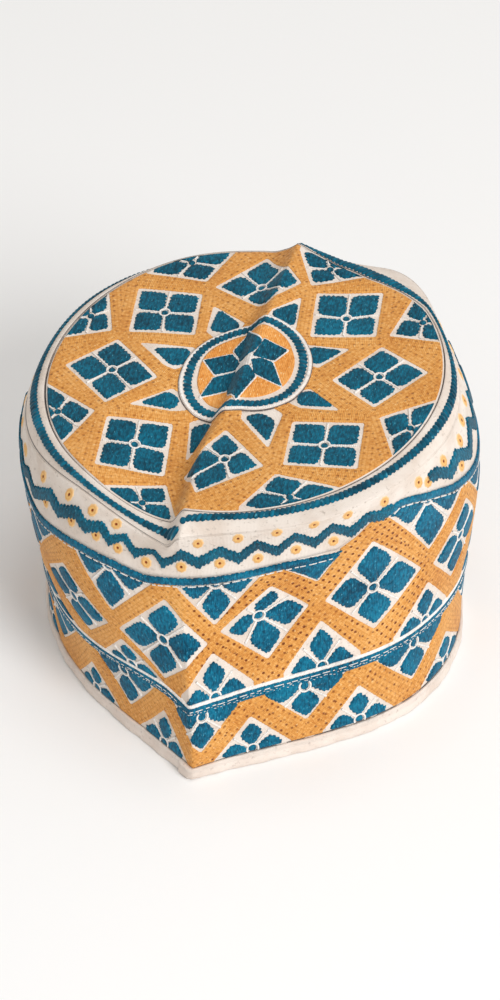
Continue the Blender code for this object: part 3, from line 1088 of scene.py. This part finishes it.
binding_cloth = binding()
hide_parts("hem_binding")

# The wall's embroidery: heights above the cloth, and where the ground of each tier begins and ends.
GROUND_HEIGHT = 0.45
PETAL_HEIGHT = 0.65
RING_HEIGHT = 0.7
LINE_HEIGHT = 0.55
DOT_HEIGHT = 0.5
# In a flower: how much smaller the dot is than its ring, and how far the lines end before the edge.
DOT_INSET = 0.75
LINE_END = 0.6
FOOT_ABOVE = 0.9
TOP_BELOW = 4.6
LOWER_FOOT = 7.0
# Where the ground climbs beside the blue line, and how far it stays from the line there and elsewhere.
CLIMB_FROM, CLIMB_TO, CLIMB_TOP = 61.0, 88.0, 109.4
CLIMB_BELOW = 0.5
GROUND_BELOW = 3.3
COLUMNS = range(-6, 6)
GROUND_COLUMNS = range(-7, 7)
CROWDED_COLUMN = 1
OVER = 5.0


def open_triangle(kind, k):
    """A triangular field, run on past the line that its long side lies on."""
    left, right, apex = fields(kind, k)
    beyond = OVER if apex[1] < left[1] else -OVER
    return np.array([left, apex, right, right + (0, beyond), left + (0, beyond)])


def sides_of(loop, count):
    """The first sides of a field, each turned so that the ground lies on its left."""
    middle = loop.mean(axis=0)
    out = []
    for i in range(count):
        a, b = loop[i], loop[(i + 1) % len(loop)]
        run = b - a
        if run[0] * (middle[1] - a[1]) - run[1] * (middle[0] - a[0]) > 0:
            a, b = b, a
        out.append((a, b))
    return out


# How deep the needle holes show at the least, and where they begin and cease to show in full, each with
# the length over which they change.
HOLES_LEAST = 0.35
HOLES_FROM, HOLES_FROM_OVER = -5.0, 15.0
HOLES_TO, HOLES_TO_OVER = 95.0, 25.0


def strip_mark(flat):
    """How deep the needle holes show: most to the right of the front corner."""
    u = flat[:, 0]
    begun = smooth_step((u - HOLES_FROM) / HOLES_FROM_OVER)
    ceased = smooth_step((u - HOLES_TO) / HOLES_TO_OVER)
    return HOLES_LEAST + (1.0 - HOLES_LEAST) * begun * (1.0 - ceased)


GROUND_U = np.arange(-HALF_TURN, HALF_TURN + 0.1, 2.0)
WALL_SPACING = 2.4


def tier(mesh, foot, head, kinds, depth):
    """The ground of one tier of fields, between two lines. depth is how deep its needle holes show."""
    outline = np.concatenate([np.stack([GROUND_U, foot], -1), np.stack([GROUND_U, head], -1)[::-1]])
    holes = []
    edges = []
    for k in GROUND_COLUMNS:
        for kind in kinds:
            loop = fields(kind, k)[:4] if kind == "diamond" else open_triangle(kind, k)
            holes.append(loop)
            edges += sides_of(loop, 4 if kind == "diamond" else 2)
    v = np.arange(0.0, RIM_V, FOLD_STEP)
    corner = np.stack([np.zeros_like(v), v], -1)
    ground(mesh, side, outline, holes, GROUND_HEIGHT, edges, WALL_SPACING,
           lambda p: depth * strip_mark(p), corner, HALF_TURN)


def wall_ground():
    mesh = Mesh("wall_lattice")
    u = GROUND_U
    line = blue_line(u)
    climbs = (u > CLIMB_FROM) & (u < CLIMB_TO)
    rise = np.where(climbs, np.minimum(line - CLIMB_BELOW, CLIMB_TOP), line - GROUND_BELOW)
    tier(mesh, middle_line(u) + FOOT_ABOVE, rise, ("hanging", "rising", "diamond"), depth=1.0)
    head = middle_line(u) - TOP_BELOW
    tier(mesh, np.full_like(u, LOWER_FOOT), head, ("low_hanging", "low_rising"), depth=0.7)
    return mesh.build(ORANGE)


wall_lattice = wall_ground()


def flower(blue, white, place, centre, corners, sizes, keep=None):
    """Petals towards the corners of a field, with a small ring in the middle.

    keep cuts them along a line."""
    for i in range(4):
        m1 = (corners[i] + corners[(i + 1) % 4]) / 2
        m2 = (corners[i - 1] + corners[i]) / 2
        outline = petal((centre, m1, corners[i], m2), sizes)
        if keep is not None:
            outline = keep(outline)
            if outline is None:
                continue
        pad(blue, place, counter(outline), PETAL_HEIGHT)
    radius = sizes["radius"]
    dot = ring_outline(centre, radius - DOT_INSET, 1.0, 16)
    ring = ring_outline(centre, radius)
    for i in range(4):
        away = (corners[i] + corners[(i + 1) % 4]) / 2 - centre
        long = np.linalg.norm(away)
        line = centre + away[None] * np.linspace(radius / long, 1.0 - LINE_END / long, 12)[:, None]
        if keep is not None:
            line = line[keep(line, test=True)]
            if len(line) < 4:
                continue
        band(white, place, line, sizes["line"], LINE_HEIGHT, step=0.7, ruffle=0.09, pitch=1.5)
    if keep is None:
        band(white, place, ring, sizes["ring"], RING_HEIGHT, step=0.5, closed=True, ruffle=0.05, pitch=1.0)
        pad(blue, place, dot, DOT_HEIGHT)
        return
    dot = keep(dot, few=1)
    if dot is not None:
        pad(blue, place, dot, DOT_HEIGHT)
    kept = keep(ring, test=True)
    if 5 < kept.sum() < len(kept):
        start = (np.flatnonzero(~kept & np.roll(kept, -1))[0] + 1) % len(kept)
        arc = np.roll(ring, -start, axis=0)[: kept.sum()]
        band(white, place, arc, sizes["ring"], RING_HEIGHT, step=0.5, ruffle=0.05, pitch=1.0)


def cut(line_at, sign):
    """Cuts outlines along a level line: sign 1 keeps what lies below it, -1 what lies above."""
    def keep(outline, test=False, few=6):
        line = line_at(outline[:, 0])
        under = (line - outline[:, 1]) * sign
        if test:
            return under > 0
        if (under > 1.0 / few).sum() < few:
            return None
        return np.stack([outline[:, 0], np.where(under > 0, outline[:, 1], line)], -1)
    return keep


def half_flower(blue, white, kind, k, centre_v, sizes, keep):
    """A flower whose middle lies on the long side of a triangular field."""
    left, right, apex = fields(kind, k)
    middle = (left[0] + right[0]) / 2 * 0.6 + apex[0] * 0.4
    centre = np.array((middle, float(centre_v(middle))))
    slope = (right[1] - left[1]) / (right[0] - left[0])
    left, right = (np.array((end[0], centre[1] + slope * (end[0] - centre[0]))) for end in (left, right))
    flower(blue, white, side, centre, [2 * centre - apex, right, apex, left], sizes, keep)


# The flower that the crossing strips leave no room for has one leaf.
LONE_LEAF = ((41.5, 94.5), (48.4, 89.2), (55.8, 83.0), (60.2, 89.4), (66.2, 95.4))
# Each half flower: its field, the line of its middle, its measures, the line that cuts it, the side kept.
HALF_FLOWERS = (
    ("hanging", above(blue_line, -4.0), HANGING_FLOWER, above(blue_line, -4.5), 1),
    ("rising", above(middle_line, 1.3), RISING_FLOWER, above(middle_line, FOOT_ABOVE + 0.1), -1),
    ("low_hanging", above(middle_line, -6.0), HANGING_FLOWER, above(middle_line, 0.6 - TOP_BELOW), 1),
    ("low_rising", constant(LOWER_FOOT + 1.2), RISING_FLOWER, constant(LOWER_FOOT + 0.1), -1),
)


def wall_flowers():
    blue = Mesh("wall_petals")
    white = Mesh("wall_rings")
    for k in COLUMNS:
        *corners, middle = fields("diamond", k)
        flower(blue, white, side, middle, corners, WALL_FLOWER)
        for kind, centre_v, sizes, line, sign in HALF_FLOWERS:
            if (kind, k) != ("hanging", CROWDED_COLUMN):
                half_flower(blue, white, kind, k, centre_v, sizes, cut(line, sign))
    pad(blue, side, counter(scalloped(np.array(LONE_LEAF), SCALLOP, depth=0.3)), PETAL_HEIGHT)
    return blue.build(BLUE_WALL_SHEEN), white.build(CREAM)


wall_petals, wall_rings = wall_flowers()


def along(low, high, v_of, step=2.0):
    """Points of a line on the cloth between two places along it."""
    u = np.arange(low, high + 0.001, step)
    return np.stack([u, v_of(u)], -1)


# The stitches: share of the length, share of the width, share of the height.
STITCH_SECTIONS = ((0.0, 0.45, 0.3), (0.16, 0.85, 0.85), (0.5, 1.0, 1.0), (0.84, 0.85, 0.85),
                   (1.0, 0.45, 0.3))
STITCH_ACROSS = ((-0.5, -0.1), (-0.34, 0.75), (0.0, 1.0), (0.34, 0.75), (0.5, -0.1))


def stitch(mesh, a, b, width, height, lift=0.0):
    """Queues one stitch from a to b, which flush places."""
    run = (b - a) / np.linalg.norm(b - a)
    across = left_of(run)
    for share, wide, rise in STITCH_SECTIONS:
        p = a + (b - a) * share
        for s, h in STITCH_ACROSS:
            q = p + across * s * width * wide
            mesh.queue.append((q[0], q[1], lift + height * rise * h if h > 0 else lift * 0.4 - 0.1))


def flush(mesh, place):
    """Places all queued stitches at once."""
    u, v, h = np.array(mesh.queue).T
    rows, columns = len(STITCH_SECTIONS), len(STITCH_ACROSS)
    points = place(u, v, h).reshape(-1, rows, columns, 3)
    local = np.stack(np.meshgrid(np.linspace(0, 1.2, columns), np.linspace(0, 3, rows)), -1)
    for i, block in enumerate(points):
        mesh.grid(block[:, ::-1], local + (i * 1.7 % 50, 0.0))
    mesh.queue = []


def rope(mesh, path_of, length, width, height, pitch, lift=0.0, narrow=(), lean=0.5):
    """Slanted stitches side by side along a line. narrow gives the first ones' share of the width."""
    count = int(round(length / pitch))
    pitch = length / count
    for i in range(count):
        at = (i + 0.5) * pitch
        wide = width * (narrow[i] if i < len(narrow) else 1.0)
        a = path_of(at - 0.4)
        b = path_of(at + 0.4)
        run = (b - a) / np.linalg.norm(b - a)
        across = left_of(run)
        reach = across * wide / 2 * rng.uniform(0.94, 1.06) + run * pitch * lean
        middle = (a + b) / 2
        stitch(mesh, middle - reach, middle + reach, pitch * 1.4, height, lift)


def on(line):
    """Gives the point of a line at a place along the cloth."""
    return lambda u: np.array((u, float(line(u))))


def tapering(start, end):
    """A band's share of its width. Each end: over what share of the length it narrows, and to what."""
    return lambda t: np.minimum(1.0, np.minimum(t / start[0] + start[1], (1 - t) / end[0] + end[1]))


def dashes(mesh, line, start, stop, longs, gaps, drops, width, height):
    """Broken stitches below a line, with lengths, gaps and drops between the two values of each."""
    u = start
    while u < stop:
        long = rng.uniform(*longs)
        below = above(line, -rng.uniform(*drops))
        band(mesh, side, along(u, u + long, below, step=0.8), width, height)
        u += long + rng.uniform(*gaps)


def wall_lines():
    blue = Mesh("wall_blue_lines")
    white = Mesh("wall_white_lines")
    line = along(88.5, 66.5 + CLOTH_LENGTH, above(blue_line, -1.85))
    band(blue, side, line, width=3.6, height=0.75, step=0.7, ruffle=0.2, pitch=1.9,
         taper=tapering((0.01, 0.25), (0.045, 0.12)), lift=0.1)
    dashes(white, blue_line, 91.0, CLOTH_LENGTH + 62.0, longs=(1.6, 3.6), gaps=(0.5, 1.0),
           drops=(4.05, 4.4), width=0.6, height=0.8)
    rope(white, on(middle_line), CLOTH_LENGTH, width=0.9, height=0.7, pitch=1.5, lean=0.9)
    whole = along(0.0, CLOTH_LENGTH - 2.0, middle_line)
    band(blue, side, whole - (0, 1.75), width=2.3, height=0.75, ruffle=0.15, pitch=1.9,
         wrap=CLOTH_LENGTH, lift=0.1)
    band(blue, side, whole - (0, 3.9), width=1.9, height=0.55, ruffle=0.12, pitch=1.7, wrap=CLOTH_LENGTH)
    dashes(white, middle_line, 0.0, CLOTH_LENGTH - 8.0, longs=(1.4, 4.6), gaps=(0.4, 1.2),
           drops=(1.95, 2.25), width=0.45, height=1.0)
    # a loose row of small stitches on the lower blue line
    for i, u in enumerate(np.arange(0.0, CLOTH_LENGTH, 1.45)):
        drop = 3.3 + rng.uniform(-0.35, 0.3) + 0.5 * (i % 2)
        a = np.array((u + rng.uniform(-0.3, 0.3), float(middle_line(u)) - drop))
        b = a + (rng.uniform(0.6, 1.5), rng.uniform(-0.5, 0.5))
        stitch(white, a, b, rng.uniform(0.3, 0.45), 0.9)
    flush(white, side)
    return blue.build(BLUE_WALL_SHEEN), white.build(CREAM)


wall_blue_lines, wall_white_lines = wall_lines()

# The band: its zigzag, left and right of its gap, and the eyelets above and below it.
ZIGZAG_LEFT = (
    (-106.5, 112), (-99, 103.5), (-91, 109), (-83.5, 103.5), (-68, 113.7), (-60.5, 109.3), (-50, 115),
    (-44, 110.6), (-36, 115.6), (-31, 110), (-25, 117), (-19, 108.3), (-11, 115.3), (-7, 106),
    (1, 113.6), (8, 107.3), (17, 114.3), (24.5, 107.6), (32, 115.7), (40, 107.2), (47.5, 116),
    (55.5, 107.2), (63, 115.5), (71, 107.6), (79, 114), (84.5, 111.3), (92, 112.6),
)
ZIGZAG_RIGHT = ((112, 117), (118, 116.2), (125, 110.6), (133, 115), (143, 107.3), (152.5, 116.5))
# The hidden part: its number of peaks, how far its turns lie above the blue line, and how far from
# each turn its eyelet lies.
ZIGZAG_HIDDEN = 21
ZIGZAG_TURNS = (9.3, 17.8)
EYELET_FROM_TURN = (15.0, -9.6)
EYELET_TALL = 1.4
UPPER_EYELETS = (
    (-98, 117), (-76, 119), (-57, 121), (-43, 121.3), (-31, 122.5), (8, 121.3), (24.3, 122.6), (40, 123.3),
    (55.3, 123.3), (70, 122), (87.6, 119.3), (106.4, 118.5), (123.6, 119), (139.3, 118.5), (148, 123),
)
LOWER_EYELETS = (
    (-71, 107), (-52, 109), (-38, 109), (-27, 107.3), (-14, 104), (1, 104.8), (16.7, 106), (32.1, 105),
    (47.6, 105.2), (63.3, 104.9), (111.5, 115), (134, 107.8),
)


def hidden_zigzag():
    """The points between the last one seen on the right and the first one seen on the left."""
    start = ZIGZAG_RIGHT[-1][0]
    step = (ZIGZAG_LEFT[0][0] + CLOTH_LENGTH - start) / ZIGZAG_HIDDEN / 2
    u = start + step * np.arange(1, 2 * ZIGZAG_HIDDEN)
    v = blue_line(u) + np.where(np.arange(len(u)) % 2 == 0, *ZIGZAG_TURNS)
    return np.stack([u, v], -1)


# An eyelet's section: radius, height above the cloth.
EYELET_RINGS = ((2.45, -0.1), (2.3, 0.12), (1.8, 0.3), (1.1, 0.35), (0.6, 0.2), (0.35, -0.05))
EYELET_WAVY = 1.2
HOLE_RADIUS = 0.58
HOLE_RINGS = ((1.0, 0.5), (0.5, 2.1), (0.1, 2.3))


def eyelet(orange, dark, centre, squash):
    """A round of stitches with a hole in it, the hole shown as a dark pad of painted shade."""
    a = circle(24)
    wobble = 1.0 + 0.08 * np.sin(a * 8 + centre[0])
    rows = []
    flats = []
    for r, h in EYELET_RINGS:
        r = r * (wobble if r > EYELET_WAVY else 1.0)
        p = centre + polar(r, a) * (1.0, squash)
        rows.append(side(p[:, 0], p[:, 1], h))
        flats.append(np.stack([a * 3.0, r + 0 * a], -1))
    orange.grid(np.stack(rows), np.stack(flats), round_b=True)
    pad(dark, side, ring_outline(centre, HOLE_RADIUS, squash, 14), 0.1, HOLE_RINGS)


def band_work():
    blue = Mesh("band_zigzag")
    orange = Mesh("band_eyelets")
    dark = Mesh("band_eyelet_holes")
    hidden = hidden_zigzag()
    points = np.concatenate([ZIGZAG_RIGHT, hidden, np.array(ZIGZAG_LEFT) + (CLOTH_LENGTH, 0.0)])
    band(blue, side, points, width=7.3, height=0.8, step=0.4, radius=0.3, ruffle=0.5, pitch=2.2,
         taper=tapering((0.004, 0.4), (0.004, 0.4)), upright=True)
    for table, squash in ((UPPER_EYELETS, 1.65), (LOWER_EYELETS, 1.45)):
        for centre in table:
            eyelet(orange, dark, centre, squash)
    for i, (u, v) in enumerate(hidden):
        eyelet(orange, dark, (u, v + EYELET_FROM_TURN[i % 2]), EYELET_TALL)
    eyelet(orange, dark, (ZIGZAG_LEFT[1][0] - 0.5, 117.5), EYELET_TALL)
    return (
        blue.build(BLUE), orange.build(EYELET),
        dark.build(EYELET_HOLE_SHADE),
    )


band_zigzag, band_eyelets, band_eyelet_holes = band_work()

# The ring's rope: place along the cloth, height up it.
ROPE = np.array((
    (-120, 132.5), (-92, 133.3), (-65, 132.2), (-48, 131.6), (-30, 132), (-10, 132.3), (-7, 131.7),
    (-4, 130.2), (-1.8, 128.8), (-1.3, 132.2), (0.5, 134.2), (3, 135), (16, 136), (52, 136), (80, 135),
    (110, 134), (135, 133), (155, 132), (170, 131.5), (200, 132.5), (215, 134.5), (230, 136.5),
    (280, 136.5), (300, 132.5), (460, 132.5),
), float)
ROPE_START = -1.2
ROPE_END = -2.0
ROPE_PITCH = 2.3
ROPE_WIDTH = 3.9


def rope_v(u):
    """The height of the ring's rope."""
    return read(ROPE, (u + 120.0) % CLOTH_LENGTH - 120.0)


def ring_work():
    mesh = Mesh("ring_rope")
    length = CLOTH_LENGTH + ROPE_END - ROPE_START
    place_at = on(rope_v)
    rope(mesh, lambda s: place_at(s + ROPE_START), length, ROPE_WIDTH, 1.0, ROPE_PITCH,
         narrow=(0.4, 0.65, 0.85))
    flush(mesh, side)
    shade_lines = Mesh("seam_shade_lines")
    # the seam between the crown and its ring, its gap's shade painted as a thin grey line
    seam = along(0.0, CLOTH_LENGTH - 2.0, constant(SEAM_V - 0.15))
    band(shade_lines, side, seam, width=0.4, height=0.1, step=1.0, wrap=CLOTH_LENGTH)
    # a grey line along the ring's fold at the front left: painted shade of the fold
    fold = along(-125.0, -5.0, constant(RIM_V + 0.6))
    band(shade_lines, side, fold, width=0.35, height=0.05, step=1.0, taper=tapering((1.0, 1.0), (0.25, 0.2)))
    return mesh.build(BLUE), shade_lines.build(SEAM_SHADE_GREY)


ring_rope, seam_shade_lines = ring_work()


def hem_work():
    shade_lines = Mesh("hem_shade_line")
    # a broken grey line just above the binding's top edge: painted shade of the seam there
    u = 0.0
    while u < CLOTH_LENGTH - 4.0:
        long = rng.uniform(6.0, 16.0)
        path = along(u, min(u + long, CLOTH_LENGTH - 1.0), constant(BINDING_HEIGHT + 0.25))
        band(shade_lines, side, path, width=0.3, height=0.25, step=1.0, taper=tapering((0.2, 0.2), (0.2, 0.2)))
        u += long + rng.uniform(0.5, 3.0)
    return shade_lines.build(SEAM_SHADE_GREY)


hem_shade_line = hem_work()

# The crown's embroidery.
# The white fields, as x, y from the middle of the pattern: four corners and the flower's middle.
CROWN_DIAMONDS = (
    ((-75.7, -2.3), (-57.7, 15.7), (-36, -4.8), (-53.5, -23.2), (-55.5, -3.5)),
    ((-56.3, 49), (-28.8, 48.5), (-26.3, 23), (-54, 21.3), (-41.8, 34.7)),
    ((-6.3, 77), (12.7, 55.5), (1, 41.5), (-24, 54.3), (-4.3, 56)),
    ((47.8, 55.7), (49.8, 28), (23.2, 24), (20.7, 50.7), (35.7, 37.3)),
    ((75.3, 8.5), (57.3, -14.8), (37.3, -0.7), (53.7, 21.8), (56, 3.5)),
    ((57, -51.5), (27.3, -52.3), (26, -27), (54.8, -24.8), (41.5, -39.5)),
    ((-4.3, -72.3), (-12.7, -55.7), (-0.2, -34.8), (19.3, -54), (3, -52)),
    ((-49, -59.3), (-50.7, -31.5), (-24.3, -27.7), (-21.3, -56.5), (-36.5, -43.2)),
)
# The half fields along the seam: inner tip and the two ends on the seam.
CROWN_HALVES = (
    ((-61.8, 21.3), (-82.3, 14.3), (-69.3, 46.8)), ((-28.8, 57.3), (-55, 59.3), (-21, 79.3)),
    ((17.3, 55.2), (8.2, 76), (40.7, 66)), ((55.7, 29.3), (61.5, 54.3), (80.7, 27.7)),
    ((60.7, -20.7), (82.3, -7.3), (71.5, -45.7)), ((25.3, -58.2), (14.8, -78.2), (52.3, -63.2)),
    ((-19.3, -61.5), (-11, -80.7), (-42.3, -69.8)), ((-56.8, -29), (-81.8, -14), (-65.2, -49.8)),
)
# The small fields round the roundel, each with one petal.
CROWN_KITES = (
    ((-47.5, 14.5), (-24.5, 15), (-22, 7), (-30, 1.5), (-34.5, 3)),
    ((-22, 41.5), (-7, 33), (-9, 26), (-17, 22), (-21.5, 26)),
    ((14.5, 46.5), (4.5, 36), (3, 31), (10, 24), (16, 27)),
    ((40.5, 18.8), (22, 18.5), (22, 8), (30, 6)),
    ((43.2, -18.2), (29, -7.3), (22.5, -10), (20, -15), (27.3, -18.4)),
    ((19, -43), (20.7, -23), (13, -18), (4, -21), (4.8, -27.3)),
    ((-14.3, -45.7), (-8, -27), (-10, -21), (-17.2, -25)),
    ((-43.5, -22.3), (-28.5, -9.8), (-22, -13), (-20, -19), (-26, -21)),
)
# The petal in each of them.
CROWN_LEAVES = (
    ((-41.5, 12), (-26.5, 14.2), (-25, 6.5), (-31.5, 3.2)),
    ((-19.3, 39.8), (-8.6, 32), (-10, 26), (-20.5, 27)),
    ((13.8, 43), (4.3, 35), (8.5, 28), (15, 29.5)),
    ((38, 17.6), (24.3, 17.6), (22.5, 10.5), (29.3, 8)),
    ((41, -16.3), (30, -8), (24.6, -10.5), (26, -16.8)),
    ((18.2, -39.5), (18.6, -27), (12, -23.3), (6, -26)),
    ((-13.5, -42.5), (-8.2, -31), (-9.5, -24), (-16, -27.5)),
    ((-39.5, -20.6), (-29.5, -11.5), (-24, -14.5), (-25.5, -20)),
)
CROWN_MARGIN = 1.0
CROWN_HOLES = 0.38
CROWN_SPACING = 2.2
LEAF_GROWTH = 0.4
SEAM_REACH = 82.0
HALF_MIDDLE = 4.4


def keep_round(outline, test=False, few=6):
    """Cuts outlines at the crown's seam, as cut does along a line."""
    reach = np.linalg.norm(outline, axis=1)
    edge = seam_radius(np.arctan2(outline[:, 1], outline[:, 0])) - CROWN_MARGIN
    if test:
        return reach < edge
    if (reach < edge - 1.0).sum() < few:
        return None
    return outline * np.minimum(1.0, edge / reach)[:, None]


def inset(loop, distance):
    """A loop moved inwards from its sides."""
    loop = counter(np.array(loop, float))
    out = []
    for i in range(len(loop)):
        a = loop[i] - loop[i - 1]
        b = loop[(i + 1) % len(loop)] - loop[i]
        na, nb = (left_of(run) / np.linalg.norm(run) for run in (a, b))
        bend = max(0.45, 1.0 + na @ nb)
        out.append(loop[i] + (na + nb) * distance / bend)
    return np.array(out)


def crown_work():
    orange = Mesh("crown_lattice")
    blue = Mesh("crown_petals")
    white = Mesh("crown_rings")
    holes = [round_line(ROUNDEL_GROUND, more=1.0, count=60)]
    edges = []
    for row in CROWN_DIAMONDS:
        corners = [np.array(p, float) for p in row]
        holes.append(np.array(corners[:4]))
        edges += sides_of(np.array(corners[:4]), 4)
        flower(blue, white, top, corners[4], corners[:4], CROWN_FLOWER)
    for tip, left, right in CROWN_HALVES:
        tip, left, right = (np.array(p, float) for p in (tip, left, right))
        loop = np.array([left * 1.1, left, tip, right, right * 1.1])
        holes.append(loop)
        edges += sides_of(np.array([left, tip, right]), 2)
        middle = left + right
        reach = seam_radius(math.atan2(middle[1], middle[0])) - HALF_MIDDLE
        middle = middle / np.linalg.norm(middle) * reach
        flower(blue, white, top, middle, [tip, right, 2 * middle - tip, left], CROWN_FLOWER, keep_round)
    for row in CROWN_KITES:
        loop = np.array(row, float)
        holes.append(loop)
        edges += sides_of(loop, len(loop))
    for row in CROWN_LEAVES:
        line = rounded_path(inset(row, -LEAF_GROWTH), radius=3.0, step=0.8, closed=True)[0]
        pad(blue, top, counter(scalloped(line, SCALLOP, depth=0.35)), PETAL_HEIGHT)
    angle = circle(240)
    outer = polar(seam_radius(angle) - CROWN_MARGIN, angle)
    y = np.arange(-SEAM_REACH, SEAM_REACH, FOLD_STEP)
    crease = np.stack([read(CREASE, y), y], -1)
    ground(orange, top, outer, holes, GROUND_HEIGHT, edges, CROWN_SPACING,
           lambda p: np.full(len(p), CROWN_HOLES), crease)
    return (
        orange.build(ORANGE), blue.build(BLUE),
        white.build(CREAM),
    )


crown_lattice, crown_petals, crown_rings = crown_work()

# The roundel's star, and how its patches are enlarged.
STAR = (
    ((-2.2, 23.4), (-6.2, 13.6), (-1.2, 7.6), (1.6, 8.2), (3.4, 14)),
    ((4.9, 15), (13.8, 11.5), (10.4, 5.8), (2.8, 6.6)),
    ((2.6, 3.9), (5.5, 5), (9.9, 3.8), (15.8, -7.3), (4.6, -2.2)),
    ((-2, 1), (1.4, 0.6), (4.8, -4.2), (0.4, -16), (-3.7, -6.8)),
    ((-3.3, 2.6), (-3, -1.4), (-5, -5.9), (-14.2, -10.6), (-11.2, -1.2)),
    ((-2.4, 6.4), (-7.2, 11.2), (-16.4, 7), (-11.5, 1.3), (-4.2, 4.4)),
)
STAR_MIDDLE = (0.0, 4.5)
STAR_GROWTH = 1.08
STAR_CENTRE = 3.6
STAR_WHITE = 1.25
STAR_BLUE = 0.65
# How high above the crown's cloth the star's two layers begin.
WHITE_LIFT = ROUNDEL_LIFT + 0.42
BLUE_LIFT = ROUNDEL_LIFT + 0.62
WHITE_HEIGHT = 0.2
BLUE_HEIGHT = 0.35


def roundel_work():
    orange = Mesh("roundel_ground")
    blue = Mesh("roundel_star")
    cord = Mesh("roundel_rope")
    white = Mesh("roundel_edge")
    seam = Mesh("roundel_edge_shade")
    pad(orange, top, round_line(ROUNDEL_GROUND, count=150), height=0.4, rings=FINE_RINGS,
        lift=ROUNDEL_LIFT)
    band(white, top, round_line(ROUNDEL_EDGE, more=-0.9), width=1.2, height=0.3, closed=True,
         ruffle=0.06, lift=ROUNDEL_LIFT)
    # a thin grey line round the roundel's raised edge: painted shade of that edge
    band(seam, top, round_line(ROUNDEL_EDGE, more=0.1), width=0.4, height=0.3, closed=True,
         ruffle=0.04, lift=0.45)
    line = round_line(ROUNDEL_ROPE, count=240)
    line = np.concatenate([line, line[:1]])
    lengths = lengths_along(line)

    def at_length(s):
        s = s % lengths[-1]
        return np.array([np.interp(s, lengths, places) for places in line.T])

    rope(cord, at_length, lengths[-1], width=3.4, height=0.7, pitch=2.1, lift=ROUNDEL_LIFT)
    flush(cord, top)
    pad(white, top, ring_outline(STAR_MIDDLE, STAR_CENTRE), WHITE_HEIGHT, FINE_RINGS, WHITE_LIFT)
    for row in STAR:
        row = STAR_MIDDLE + (np.array(row) - STAR_MIDDLE) * STAR_GROWTH
        shape = rounded_path(inset(row, -STAR_WHITE), radius=0.9, step=0.7, closed=True)[0]
        pad(white, top, counter(shape), WHITE_HEIGHT, FINE_RINGS, WHITE_LIFT)
        shape = rounded_path(inset(row, -STAR_BLUE), radius=0.7, step=0.7, closed=True)[0]
        shape = counter(scalloped(shape, pitch=1.8, depth=0.2))
        pad(blue, top, shape, BLUE_HEIGHT, FINE_RINGS, BLUE_LIFT)
    return (
        orange.build(ORANGE_PLAIN), blue.build(BLUE),
        cord.build(BLUE), white.build(CREAM),
        seam.build(SEAM_SHADE_GREY),
    )


roundel_ground, roundel_star, roundel_rope, roundel_edge, roundel_edge_shade = roundel_work()

# The floor, the light and the camera.
FLOOR_REACH = 6.0
floor_mesh = bpy.data.meshes.new("floor")
corners = [(x * FLOOR_REACH, y * FLOOR_REACH, 0) for x, y in ((-1, -1), (1, -1), (1, 1), (-1, 1))]
floor_mesh.from_pydata(corners, [], [(0, 1, 2, 3)])
floor = put("floor", floor_mesh)
floor_paint = Finish("floor_paint", 0.9)
floor_paint.join(floor_paint.shader, {"Base Color": (0.93, 0.93, 0.93, 1.0)})
floor_mesh.materials.append(floor_paint.material)

world = bpy.data.worlds.new("studio")
world.use_nodes = True
background = world.node_tree.nodes["Background"]
background.inputs["Color"].default_value = (1.0, 0.975, 0.94, 1.0)
background.inputs["Strength"].default_value = 0.54
bpy.context.scene.world = world

CAP_MIDDLE = Vector((0.0, 0.0, 0.08))


def area_light(name, place, size, power):
    """A round soft light that shines on the cap."""
    light = bpy.data.lights.new(name, "AREA")
    light.shape = "DISK"
    light.size = size
    light.energy = power
    lamp = put(name, light)
    lamp.location = place
    lamp.rotation_euler = (CAP_MIDDLE - Vector(place)).to_track_quat("-Z", "Y").to_euler()


area_light("key", place=(1.49, -1.25, 1.49), size=1.2, power=36.5)
area_light("top", place=(0.2, 0.3, 2.6), size=1.4, power=11.5)

AZIMUTH = math.radians(12.0)
ELEVATION = math.radians(42.0)
DISTANCE = 1.3889
AIM = Vector((0.0166, -0.0694, 0.1258))
back = Vector((
    math.sin(AZIMUTH) * math.cos(ELEVATION), -math.cos(AZIMUTH) * math.cos(ELEVATION), math.sin(ELEVATION),
))
lens = bpy.data.cameras.new("camera")
lens.sensor_fit = "AUTO"
lens.sensor_width = 36.0
lens.lens = 126.0
lens.clip_start = 0.05
lens.clip_end = 60.0
camera = put("camera", lens)
camera.location = AIM + back * DISTANCE
camera.rotation_euler = (-back).to_track_quat("-Z", "Y").to_euler()
bpy.context.scene.camera = camera
bpy.context.scene.view_settings.view_transform = "Standard"
